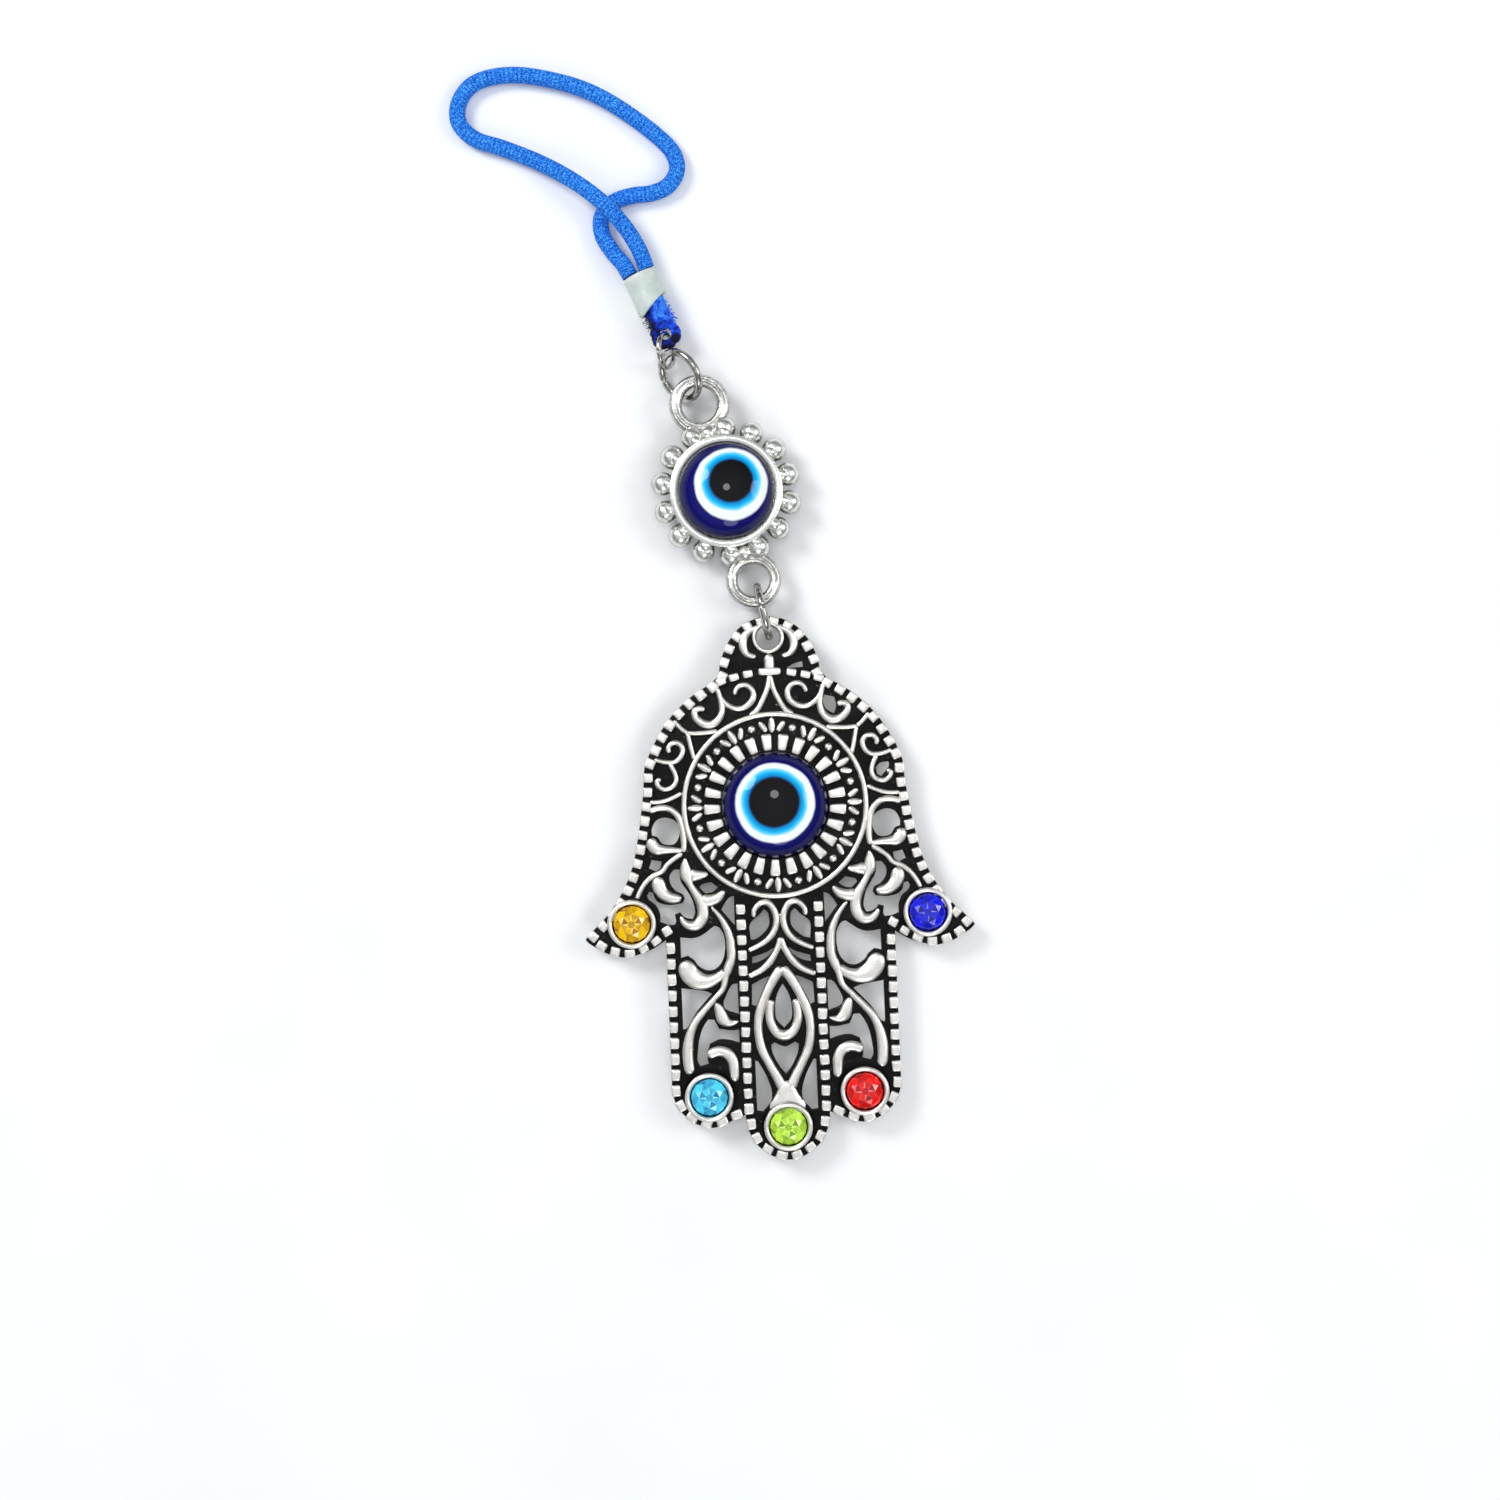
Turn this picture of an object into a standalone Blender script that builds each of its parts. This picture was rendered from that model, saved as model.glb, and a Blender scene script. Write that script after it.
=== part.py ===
"""Evil eye ornament: a filigree hamsa charm, an eye connector, split rings and a cord loop.

The ornament lies face up on a flat surface, z = 0, with the hamsa's axis along Y.
Every list of plan points is in millimetres from the middle of the hamsa's glass eye.
"""
import math

import bmesh
import bpy
from mathutils import Vector

MM = 0.001
EYE_X, EYE_Y = 0.0, -10.76  # the hamsa's eye, from the middle of the ornament's footprint

# Heights above the surface. The cups that hold the eye and the stones stand proud of the back.
PLATE_BOTTOM, PLATE_TOP = 1.8, 3.1
MEDALLION_TOP = 3.4
CUP_FLOOR = 0.9
BEZEL_TOP = 3.9
LINK_HEIGHT = 2.7  # the connector's loops and the end ring
GAP = 0.3  # between a stone or an eye and the cup that holds it

HAMSA_EYE_RADIUS, HAMSA_EYE_EDGE, HAMSA_EYE_CROWN = 5.9, 3.3, 6.3
HAMSA_CUP_WALL = 0.9
MEDALLION_RADIUS, MEDALLION_LINE = 10.45, 0.65
EYELET_Y, EYELET_RADIUS = 19.2, 1.35
STONE_RADIUS, STONE_TABLE_RADIUS, BEZEL_RADIUS = 2.1, 1.26, 2.8
STONE_POINT, STONE_GIRDLE, STONE_SHOULDER, STONE_TABLE = 1.25, 3.3, 3.5, 4.15  # heights
STONES = {
    "rhinestone_amber": (-16.95, -12.95),
    "rhinestone_sapphire": (16.95, -12.95),
    "rhinestone_aqua": (-8.9, -33.1),
    "rhinestone_peridot": (0.0, -36.8),
    "rhinestone_red": (8.9, -33.1),
}

LOWER_LOOP = Vector((-1.38, 25.85, LINK_HEIGHT))
CONNECTOR = Vector((-4.08, 36.1, LINK_HEIGHT))
CONNECTOR_AXIS = (CONNECTOR - LOWER_LOOP).normalized()
UPPER_LOOP = CONNECTOR + CONNECTOR_AXIS * 10.45
UPPER_LOOP_MAJOR, UPPER_LOOP_WIRE = 2.75, 0.7
LOWER_LOOP_MAJOR, LOWER_LOOP_WIRE = 2.5, 0.65
CONNECTOR_EYE_RADIUS, CONNECTOR_EYE_EDGE, CONNECTOR_EYE_CROWN = 5.5, 4.1, 7.2
CONNECTOR_RIM_RADIUS, CONNECTOR_RIM_TOP, CONNECTOR_CUP_FLOOR = 6.3, 4.4, 1.4
NECK_RADIUS, NECK_REACH = 0.95, 6.8  # the blobs that join the loops to the cup
BEAD_RADIUS, BEAD_CIRCLE = 1.15, 7.3
BEAD_ANGLES = [15 + 25.4 * step for step in range(7)]

RING_WIRE = 0.45  # radius of both jump rings' wire
LOWER_RING_RADIUS, UPPER_RING_RADIUS = 2.95, 2.85
LOWER_RING = Vector((-0.47, 22.19, 3.4))
LOWER_RING_ALONG = Vector((-0.189, 0.982, 0)).normalized()
UPPER_RING_ALONG = Vector((-0.516, 0.857, 0)).normalized()
UPPER_RING = UPPER_LOOP + UPPER_RING_ALONG * 4.0
UPPER_RING_TILT = 52  # degrees up from lying flat
END_RING_RADIUS, END_RING_WIRE, END_RING_LEAN = 1.9, 0.3, 25
UPPER_RING_END = UPPER_RING + UPPER_RING_ALONG * UPPER_RING_RADIUS
END_RING = UPPER_RING_END + Vector((0, 0.5, 0))
SPLIT = 4  # degrees of arc left open where a ring's ends meet

SLEEVE_FOOT, SLEEVE_HEAD = Vector((-11.2, 57.1, 2.05)), Vector((-13.0, 61.5, 2.05))
SLEEVE_RADIUS, SLEEVE_BORE = 2.05, 1.65
CORD_END_RADIUS = 1.3
CORD_END_ROUTE = [(-11.65, 58.2, 2.05), (-11.2, 57.1, 2.05), (-10.85, 56.2, 2.1), (-10.6, 55.3, 2.2)]
TONGUE_TIP, TONGUE_ROOT, TONGUE_HALF_WIDTH = 52.96, 56.0, 1.2
TONGUE_BORE = END_RING.y + END_RING_RADIUS  # where the end ring passes through the tongue
TONGUE_BORE_RADIUS = 0.76

CORD_RADIUS = 0.95
CORD_POINT_SPACING = 2.8
CORD_ROUTE = [
    (-12.14, 62.17, 2.05), (-13.1, 64.7, 2.2), (-14.7, 67.3, 2.7), (-16.9, 69.8, 2.95),
    (-20.1, 72.5, 2.3), (-24.0, 75.0, 1.2), (-28.2, 76.9, 0.97), (-31.2, 78.0, 0.97),
    (-33.0, 79.8, 0.97), (-33.1, 82.0, 0.97), (-31.7, 84.1, 0.97), (-29.2, 85.1, 0.97),
    (-25.6, 85.2, 0.97), (-20.8, 84.1, 0.97), (-17.2, 82.6, 0.97), (-13.8, 80.4, 0.97),
    (-10.6, 77.8, 0.97), (-8.7, 75.7, 0.97), (-8.2, 73.6, 0.97), (-9.3, 71.8, 0.97),
    (-11.2, 71.0, 0.97), (-13.5, 70.8, 0.97), (-15.7, 70.1, 0.97), (-17.1, 68.5, 0.97),
    (-17.1, 66.4, 1.1), (-16.0, 64.3, 1.6), (-14.85, 62.8, 1.95), (-14.08, 61.38, 2.05),
]

# The right half of the hamsa's outline, from its top round to the tip of the middle finger.
HALF_OUTLINE = [
    (0, 21.65), (1.6, 21.35), (3.2, 20.5), (4.4, 19.15), (5.15, 17.8), (5.65, 16.5), (5.85, 15.2),
    (6.7, 14.3), (8.0, 13.5), (9.35, 12.6), (10.7, 11.4), (11.85, 10.2), (12.9, 8.7), (13.7, 7.3),
    (14.4, 5.9), (14.85, 4.5), (15.05, 2.0), (15.35, 0), (15.65, -2), (16.05, -4), (16.5, -6),
    (17.25, -8), (18.35, -10), (19.85, -12), (21.9, -14), (22.35, -14.6), (21.8, -15.15),
    (20.1, -16.2), (18.6, -16.7), (17.6, -16.8), (16.4, -16.55), (15.0, -16.1), (13.9, -15.5),
    (13.15, -15.0), (13.15, -32.6), (12.65, -34.1), (12.05, -35.0), (11.15, -35.85),
    (10.15, -36.4), (8.8, -36.75), (7.45, -36.5), (6.35, -36.0), (5.35, -35.6), (4.85, -35.4),
    (4.75, -36.4), (4.4, -37.6), (3.65, -38.9), (2.5, -39.9), (1.35, -40.5), (0, -40.75),
]
# Openings right through the plate, on both sides of its axis.
PAIRED_OPENINGS = [
    # under the arch beside the medallion, and between its foot and the rim
    [(11.4, -1.5), (12.05, -1.1), (12.9, -0.95), (13.75, -1.3), (14.25, -2.2), (14.25, -2.95),
     (13.65, -3.15), (13.2, -3.85), (12.5, -4.1), (11.7, -4.0), (11.2, -3.3), (11.0, -2.3)],
    [(13.3, -5.95), (14.4, -5.75), (14.75, -6.7), (14.0, -7.05), (13.45, -6.7)],
    # round the leaf between the medallion and the thumb's stone
    [(11.25, -6.95), (11.9, -6.95), (12.4, -7.6), (12.4, -8.5), (11.8, -9.4), (11.0, -9.85),
     (10.8, -10.4), (11.1, -10.85), (12.4, -11.0), (13.5, -10.8), (14.15, -10.3), (14.4, -9.5),
     (14.85, -9.4), (15.1, -9.8), (14.9, -10.3), (14.1, -11.0), (13.7, -12.0), (13.7, -12.9),
     (12.9, -13.2), (12.1, -13.3), (11.9, -12.9), (12.0, -12.1), (11.4, -11.9), (11.1, -12.3),
     (10.6, -12.6), (10.0, -12.7), (9.7, -12.1), (9.75, -11.2), (10.1, -10.15), (10.7, -9.1),
     (11.2, -8.2)],
    # between the medallion and the stem, and beside the finger's dividing line
    [(6.9, -9.2), (7.7, -8.55), (8.8, -8.8), (9.05, -9.2), (8.4, -9.85), (7.6, -9.7)],
    [(5.15, -10.25), (5.75, -10.45), (6.45, -11.4), (6.65, -11.8), (5.7, -13.0), (5.2, -13.6)],
    # down the outer finger's vine
    [(7.55, -13.6), (8.9, -14.55), (10.0, -14.9), (11.5, -14.75), (11.5, -17.1), (10.7, -16.9),
     (10.0, -17.45), (9.55, -18.1), (8.6, -18.65), (7.55, -18.5), (6.75, -17.6), (6.4, -16.1),
     (6.5, -14.7), (7.0, -13.8)],
    [(5.15, -20.3), (5.85, -20.5), (6.6, -21.8), (6.85, -22.6), (6.5, -23.3), (5.15, -23.8)],
    [(8.1, -21.35), (9.05, -21.0), (11.6, -20.6), (11.6, -25.3), (11.15, -25.2), (10.15, -23.6),
     (9.05, -22.35)],
    [(8.0, -24.35), (8.7, -24.3), (9.25, -25.1), (9.7, -26.2), (9.95, -27.4), (10.1, -28.9),
     (9.8, -29.65), (8.85, -29.4), (8.95, -28.3), (8.6, -27.1), (7.5, -26.65), (6.3, -26.75),
     (5.2, -27.1), (5.2, -25.6), (6.2, -25.65), (7.5, -25.4)],
    # down the middle finger
    [(1.2, -13.3), (1.35, -12.3), (1.8, -11.95), (2.4, -12.6), (3.1, -13.15), (3.5, -13.8),
     (3.4, -15.4), (2.55, -15.15), (1.5, -14.2)],
    [(0.8, -16.35), (1.8, -16.9), (3.3, -17.35), (3.4, -18.1), (2.4, -17.85), (1.3, -17.15)],
    [(1.15, -19.5), (2.3, -19.9), (3.5, -20.5), (3.6, -22.8), (3.15, -23.0), (2.3, -21.4)],
    [(3.2, -29.3), (3.5, -29.3), (3.5, -35.0), (2.8, -35.1), (1.9, -34.0), (1.75, -32.8),
     (2.3, -31.0)],
]
# Openings on the axis, right half only, and those that only the right side has.
AXIS_OPENINGS = [
    [(0, -20.5), (0.7, -21.8), (0.95, -23.2), (0.85, -24.6), (0, -25.6)],
    [(0, -27.75), (1.2, -27.25), (1.6, -27.5), (1.4, -28.6), (0.7, -30.0), (0, -30.9)],
]
RIGHT_OPENINGS = [
    [(6.2, 12.4), (7.3, 12.1), (7.5, 11.1), (7.2, 10.2), (6.3, 10.8), (6.0, 11.7)],
    [(1.9, 15.6), (2.8, 16.1), (3.8, 16.35), (3.85, 15.7)],
    [(12.2, 4.3), (13.2, 4.45), (13.25, 3.9), (12.35, 2.8), (11.85, 3.05), (11.75, 3.8)],
]


# ---------------------------------------------------------------- helpers
def clear_scene():
    for item in list(bpy.data.objects):
        bpy.data.objects.remove(item, do_unlink=True)


def place(point):
    """A plan point and height in millimetres, from the hamsa's eye, as a place in the scene."""
    x, y, z = point
    return Vector(((x + EYE_X) * MM, (y + EYE_Y) * MM, z * MM))


def add_object(name, data):
    item = bpy.data.objects.new(name, data)
    bpy.context.scene.collection.objects.link(item)
    return item


def evaluated_mesh(item):
    bpy.context.view_layer.update()
    graph = bpy.context.evaluated_depsgraph_get()
    return bpy.data.meshes.new_from_object(item.evaluated_get(graph))


def solid(name, bm):
    """An object from a bmesh whose faces are turned outward."""
    bmesh.ops.recalc_face_normals(bm, faces=bm.faces)
    mesh = bpy.data.meshes.new(name)
    bm.to_mesh(mesh)
    bm.free()
    return add_object(name, mesh)


def combine(target, operation, *tools):
    """Applies one Boolean of tools that don't meet each other to target, and removes them."""
    bm = bmesh.new()
    for tool in tools:
        bm.from_mesh(tool.data)
        bpy.data.objects.remove(tool, do_unlink=True)
    joined = solid("tools", bm)
    cut = target.modifiers.new(operation.title(), "BOOLEAN")
    cut.operation = operation
    cut.object = joined
    mesh = evaluated_mesh(target)
    target.modifiers.clear()
    target.data = mesh
    bpy.data.objects.remove(joined, do_unlink=True)


def circle(x, y, radius, count):
    turns = [2 * math.pi * step / count for step in range(count)]
    return [(x + radius * math.cos(turn), y + radius * math.sin(turn)) for turn in turns]


def mirrored(points):
    return [(-x, y) for x, y in points]


def slab(name, loops, bottom, top):
    """A flat solid between two heights: the first plan loop with the other loops cut out."""
    curve = bpy.data.curves.new(name, "CURVE")
    curve.dimensions = "2D"
    curve.fill_mode = "BOTH"
    curve.extrude = (top - bottom) / 2 * MM
    for loop in loops:
        spline = curve.splines.new("POLY")
        spline.points.add(len(loop) - 1)
        for point, (x, y) in zip(spline.points, loop):
            point.co = (*place((x, y, 0)), 1)
        spline.use_cyclic_u = True
    drawn = add_object(name + "_plan", curve)
    bm = bmesh.new()
    bm.from_mesh(evaluated_mesh(drawn))
    bpy.data.objects.remove(drawn, do_unlink=True)
    bmesh.ops.remove_doubles(bm, verts=bm.verts, dist=1e-6)
    bmesh.ops.translate(bm, verts=bm.verts, vec=(0, 0, (top + bottom) / 2 * MM))
    return solid(name, bm)


def turned(name, centre, profile, segments=32):
    """A solid turned about a vertical line from (radius, height) pairs.

    A profile that starts and ends on the axis is closed there; any other is closed on itself.
    """
    x, y = centre
    bm = bmesh.new()
    rings = []
    for radius, height in profile:
        plan = [(x, y)] if radius == 0 else circle(x, y, radius, segments)
        rings.append([bm.verts.new(place((px, py, height))) for px, py in plan])
    pairs = list(zip(rings, rings[1:]))
    if profile[0][0] > 0:
        pairs.append((rings[-1], rings[0]))
    for ring, following in pairs:
        for step in range(segments):
            corners = [ring[step % len(ring)], ring[(step + 1) % len(ring)],
                       following[(step + 1) % len(following)], following[step % len(following)]]
            unique = list(dict.fromkeys(corners))
            if len(unique) > 2:
                bm.faces.new(unique)
    return solid(name, bm)


def ball(name, centre, radius, segments=12):
    """A round bead about a centre in millimetres."""
    x, y, z = centre
    steps = segments // 2
    turns = [math.pi * step / steps for step in range(1, steps)]
    rounds = [(radius * math.sin(turn), z + radius * math.cos(turn)) for turn in turns]
    return turned(name, (x, y), [(0, z + radius), *rounds, (0, z - radius)], segments)


def wire(name, points, radius, sides_level=2):
    """A round wire or cord through plan points with heights, with flat ends."""
    curve = bpy.data.curves.new(name, "CURVE")
    curve.dimensions = "3D"
    curve.bevel_depth = radius * MM
    curve.bevel_resolution = sides_level
    curve.use_fill_caps = True
    curve.resolution_u = 1
    curve.render_resolution_u = 0
    spline = curve.splines.new("POLY")
    spline.points.add(len(points) - 1)
    for knot, point in zip(spline.points, points):
        knot.co = (*place(point), 1)
    return add_object(name, curve)


def arc_points(centre, first, second, radius, start, stop, count):
    """Points on an arc about centre, in the plane of two unit vectors, from start to stop degrees."""
    points = []
    for step in range(count + 1):
        turn = math.radians(start + (stop - start) * step / count)
        points.append(centre + (first * math.cos(turn) + second * math.sin(turn)) * radius)
    return points


def split_ring(name, centre, along, across, radius, wire_radius, split_at, count):
    """A ring bent from round wire, with its split at an angle from along towards across."""
    points = arc_points(centre, along, across, radius, split_at + SPLIT / 2,
                        split_at + 360 - SPLIT / 2, count)
    return wire(name, points, wire_radius)


def smooth_route(route, spacing):
    """Points about spacing apart on a smooth curve through every point of a route."""
    knots = [Vector(point) for point in route]
    ends = [2 * knots[0] - knots[1], *knots, 2 * knots[-1] - knots[-2]]
    fine = []
    for before, start, end, after in zip(ends, ends[1:], ends[2:], ends[3:]):
        for step in range(12):
            t = step / 12
            fine.append(0.5 * (2 * start + (end - before) * t
                               + (2 * before - 5 * start + 4 * end - after) * t ** 2
                               + (3 * start - before - 3 * end + after) * t ** 3))
    fine.append(knots[-1])
    total = sum((b - a).length for a, b in zip(fine, fine[1:]))
    gap = total / round(total / spacing)
    points, walked = [fine[0]], 0.0
    for a, b in zip(fine, fine[1:]):
        walked += (b - a).length
        if walked >= gap * len(points) - 1e-6:
            points.append(b)
    return points


def finish(item, material, smooth=True):
    """Gives an object its material, and a round surface its smooth shading."""
    item.data.materials.clear()
    item.data.materials.append(material)
    if smooth and item.type == "MESH":
        item.data.shade_smooth()
        item.data.set_sharp_from_angle(angle=math.radians(35))


def material(name, colour, roughness, metallic=0.0):
    made = bpy.data.materials.new(name)
    made.use_nodes = True
    surface = made.node_tree.nodes["Principled BSDF"]
    surface.inputs["Base Color"].default_value = (*colour, 1)
    surface.inputs["Roughness"].default_value = roughness
    surface.inputs["Metallic"].default_value = metallic
    return made


# ---------------------------------------------------------------- the hamsa charm
def hamsa_plate():
    """The cast filigree plate with its medallion line, the eye's cup and the stones' cups."""
    outline = HALF_OUTLINE + mirrored(HALF_OUTLINE[-2:0:-1])
    loops = [outline, circle(0, EYELET_Y, EYELET_RADIUS, 16)]
    for opening in PAIRED_OPENINGS:
        loops += [opening, mirrored(opening)]
    loops += [half + mirrored(half[-2:0:-1]) for half in AXIS_OPENINGS]
    loops += RIGHT_OPENINGS
    plate = slab("hamsa_plate", loops, PLATE_BOTTOM, PLATE_TOP)

    low, high = PLATE_TOP - 0.3, BEZEL_TOP + 1
    half_line = MEDALLION_LINE / 2
    inner, outer = MEDALLION_RADIUS - half_line, MEDALLION_RADIUS + half_line
    cup_radius = HAMSA_EYE_RADIUS + HAMSA_CUP_WALL
    cup = [(0, 0), (BEZEL_RADIUS - 0.5, 0), (BEZEL_RADIUS, 1.0),
           (BEZEL_RADIUS, BEZEL_TOP), (0, BEZEL_TOP)]
    raised = [turned("cup", centre, cup, 24) for centre in STONES.values()]
    raised.append(turned("line", (0, 0), [(inner, low), (inner, MEDALLION_TOP),
                                          (outer, MEDALLION_TOP), (outer, low)], 48))
    raised.append(turned("cup", (0, 0), [(0, 0), (cup_radius, 0), (cup_radius, low), (0, low)], 40))
    combine(plate, "UNION", *raised)

    seat, eye_seat = STONE_RADIUS + GAP, HAMSA_EYE_RADIUS + GAP
    bore = [(0, CUP_FLOOR), (0.9, CUP_FLOOR), (seat, 2.7), (seat, high), (0, high)]
    seats = [turned("seat", centre, bore, 24) for centre in STONES.values()]
    seats.append(turned("seat", (0, 0), [(0, CUP_FLOOR), (eye_seat, CUP_FLOOR),
                                         (eye_seat, high), (0, high)], 40))
    combine(plate, "DIFFERENCE", *seats)
    return plate


def glass_eye(name, centre, radius, foot, edge, crown):
    """A cabochon: a flat foot with a narrow chamfer, an upright edge and a domed crown."""
    chamfer = 0.2
    dome = []
    for step in range(7):
        turn = math.radians(90 * step / 7)
        dome.append((radius * math.cos(turn), edge + (crown - edge) * math.sin(turn)))
    side = [(0, foot), (radius - chamfer, foot), (radius, foot + chamfer)]
    return turned(name, centre, [*side, *dome, (0, crown)], 40)


def rhinestone(name, centre):
    """A pointed-back stone with a flat table."""
    profile = [(0, STONE_POINT), (STONE_RADIUS, STONE_GIRDLE), (STONE_RADIUS, STONE_SHOULDER),
               (STONE_TABLE_RADIUS, STONE_TABLE), (0, STONE_TABLE)]
    return turned(name, centre, profile, 12)


# ---------------------------------------------------------------- the eye connector
def connector_frame():
    """A cup for the second eye, ringed with beads, with a loop at each end."""
    rim, floor, top = CONNECTOR_RIM_RADIUS, CONNECTOR_CUP_FLOOR, CONNECTOR_RIM_TOP
    seat = CONNECTOR_EYE_RADIUS + GAP
    cup = [(0, 0), (rim - 0.6, 0), (rim, 0.8), (rim, top), (seat, top), (seat, floor), (0, floor)]
    frame = turned("connector_frame", CONNECTOR[:2], cup, 40)
    base_turn = math.degrees(math.atan2(CONNECTOR_AXIS.y, CONNECTOR_AXIS.x))
    beads = []
    for angle in BEAD_ANGLES:
        for turn in (math.radians(base_turn + angle), math.radians(base_turn - angle)):
            bead = CONNECTOR + Vector((math.cos(turn), math.sin(turn), 0)) * BEAD_CIRCLE
            beads.append(ball("bead", bead, BEAD_RADIUS, 10))
    combine(frame, "UNION", *beads)
    reach = CONNECTOR_AXIS * NECK_REACH
    necks = [ball("neck", CONNECTOR + side * reach, NECK_RADIUS, 10) for side in (1, -1)]
    combine(frame, "UNION", *necks)
    loops = []
    for centre, major, minor in ((UPPER_LOOP, UPPER_LOOP_MAJOR, UPPER_LOOP_WIRE),
                                 (LOWER_LOOP, LOWER_LOOP_MAJOR, LOWER_LOOP_WIRE)):
        turns = [2 * math.pi * step / 8 for step in range(8)]
        section = [(major + minor * math.cos(turn), LINK_HEIGHT + minor * math.sin(turn))
                   for turn in turns]
        loops.append(turned("loop", centre[:2], section, 28))
    combine(frame, "UNION", *loops)
    return frame


# ---------------------------------------------------------------- the cord and its end
def crimp_sleeve():
    """A short tube that grips both legs of the cord and the stub of its end."""
    axis = (SLEEVE_HEAD - SLEEVE_FOOT).normalized()
    side = Vector((axis.y, -axis.x, 0))
    up = Vector((0, 0, 1))
    bm = bmesh.new()
    count = 24
    rings = []
    for centre, radius in ((SLEEVE_FOOT, SLEEVE_RADIUS), (SLEEVE_HEAD, SLEEVE_RADIUS),
                           (SLEEVE_HEAD, SLEEVE_BORE), (SLEEVE_FOOT, SLEEVE_BORE)):
        points = arc_points(centre, side, up, radius, 0, 360 - 360 / count, count - 1)
        rings.append([bm.verts.new(place(point)) for point in points])
    for ring, following in zip(rings, rings[1:] + rings[:1]):
        for step in range(count):
            after = (step + 1) % count
            bm.faces.new((ring[step], ring[after], following[after], following[step]))
    return solid("crimp_sleeve", bm)


def cord_end():
    """The cord's bound end below the sleeve: a round stub with a flat tongue and an eye."""
    stub_curve = wire("stub", smooth_route(CORD_END_ROUTE, 0.8), CORD_END_RADIUS, 3)
    stub = add_object("cord_end", evaluated_mesh(stub_curve))
    bpy.data.objects.remove(stub_curve, do_unlink=True)
    x, half, corner = END_RING.x, TONGUE_HALF_WIDTH, 0.6
    tongue = [(x - half + corner, TONGUE_TIP), (x + half - corner, TONGUE_TIP),
              (x + half, TONGUE_TIP + corner), (x + half, TONGUE_ROOT),
              (x - half - 0.3, TONGUE_ROOT), (x - half, TONGUE_TIP + corner)]
    bore = circle(x, TONGUE_BORE, TONGUE_BORE_RADIUS, 12)
    bottom, top = END_RING.z - 0.5, END_RING.z + 0.3
    combine(stub, "UNION", slab("tongue", [tongue, bore], bottom, top))
    return stub


# ---------------------------------------------------------------- assembly
def pivot(name, point, parent=None):
    """An empty on a joint's axis, which carries the pieces that turn there."""
    made = add_object(name, None)
    made.location = place(point)
    bpy.context.view_layer.update()
    if parent is not None:
        made.parent = parent
        made.matrix_parent_inverse = parent.matrix_world.inverted()
    bpy.context.view_layer.update()
    return made


def attach(parent, *pieces):
    for piece in pieces:
        piece.parent = parent
        piece.matrix_parent_inverse = parent.matrix_world.inverted()


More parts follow.
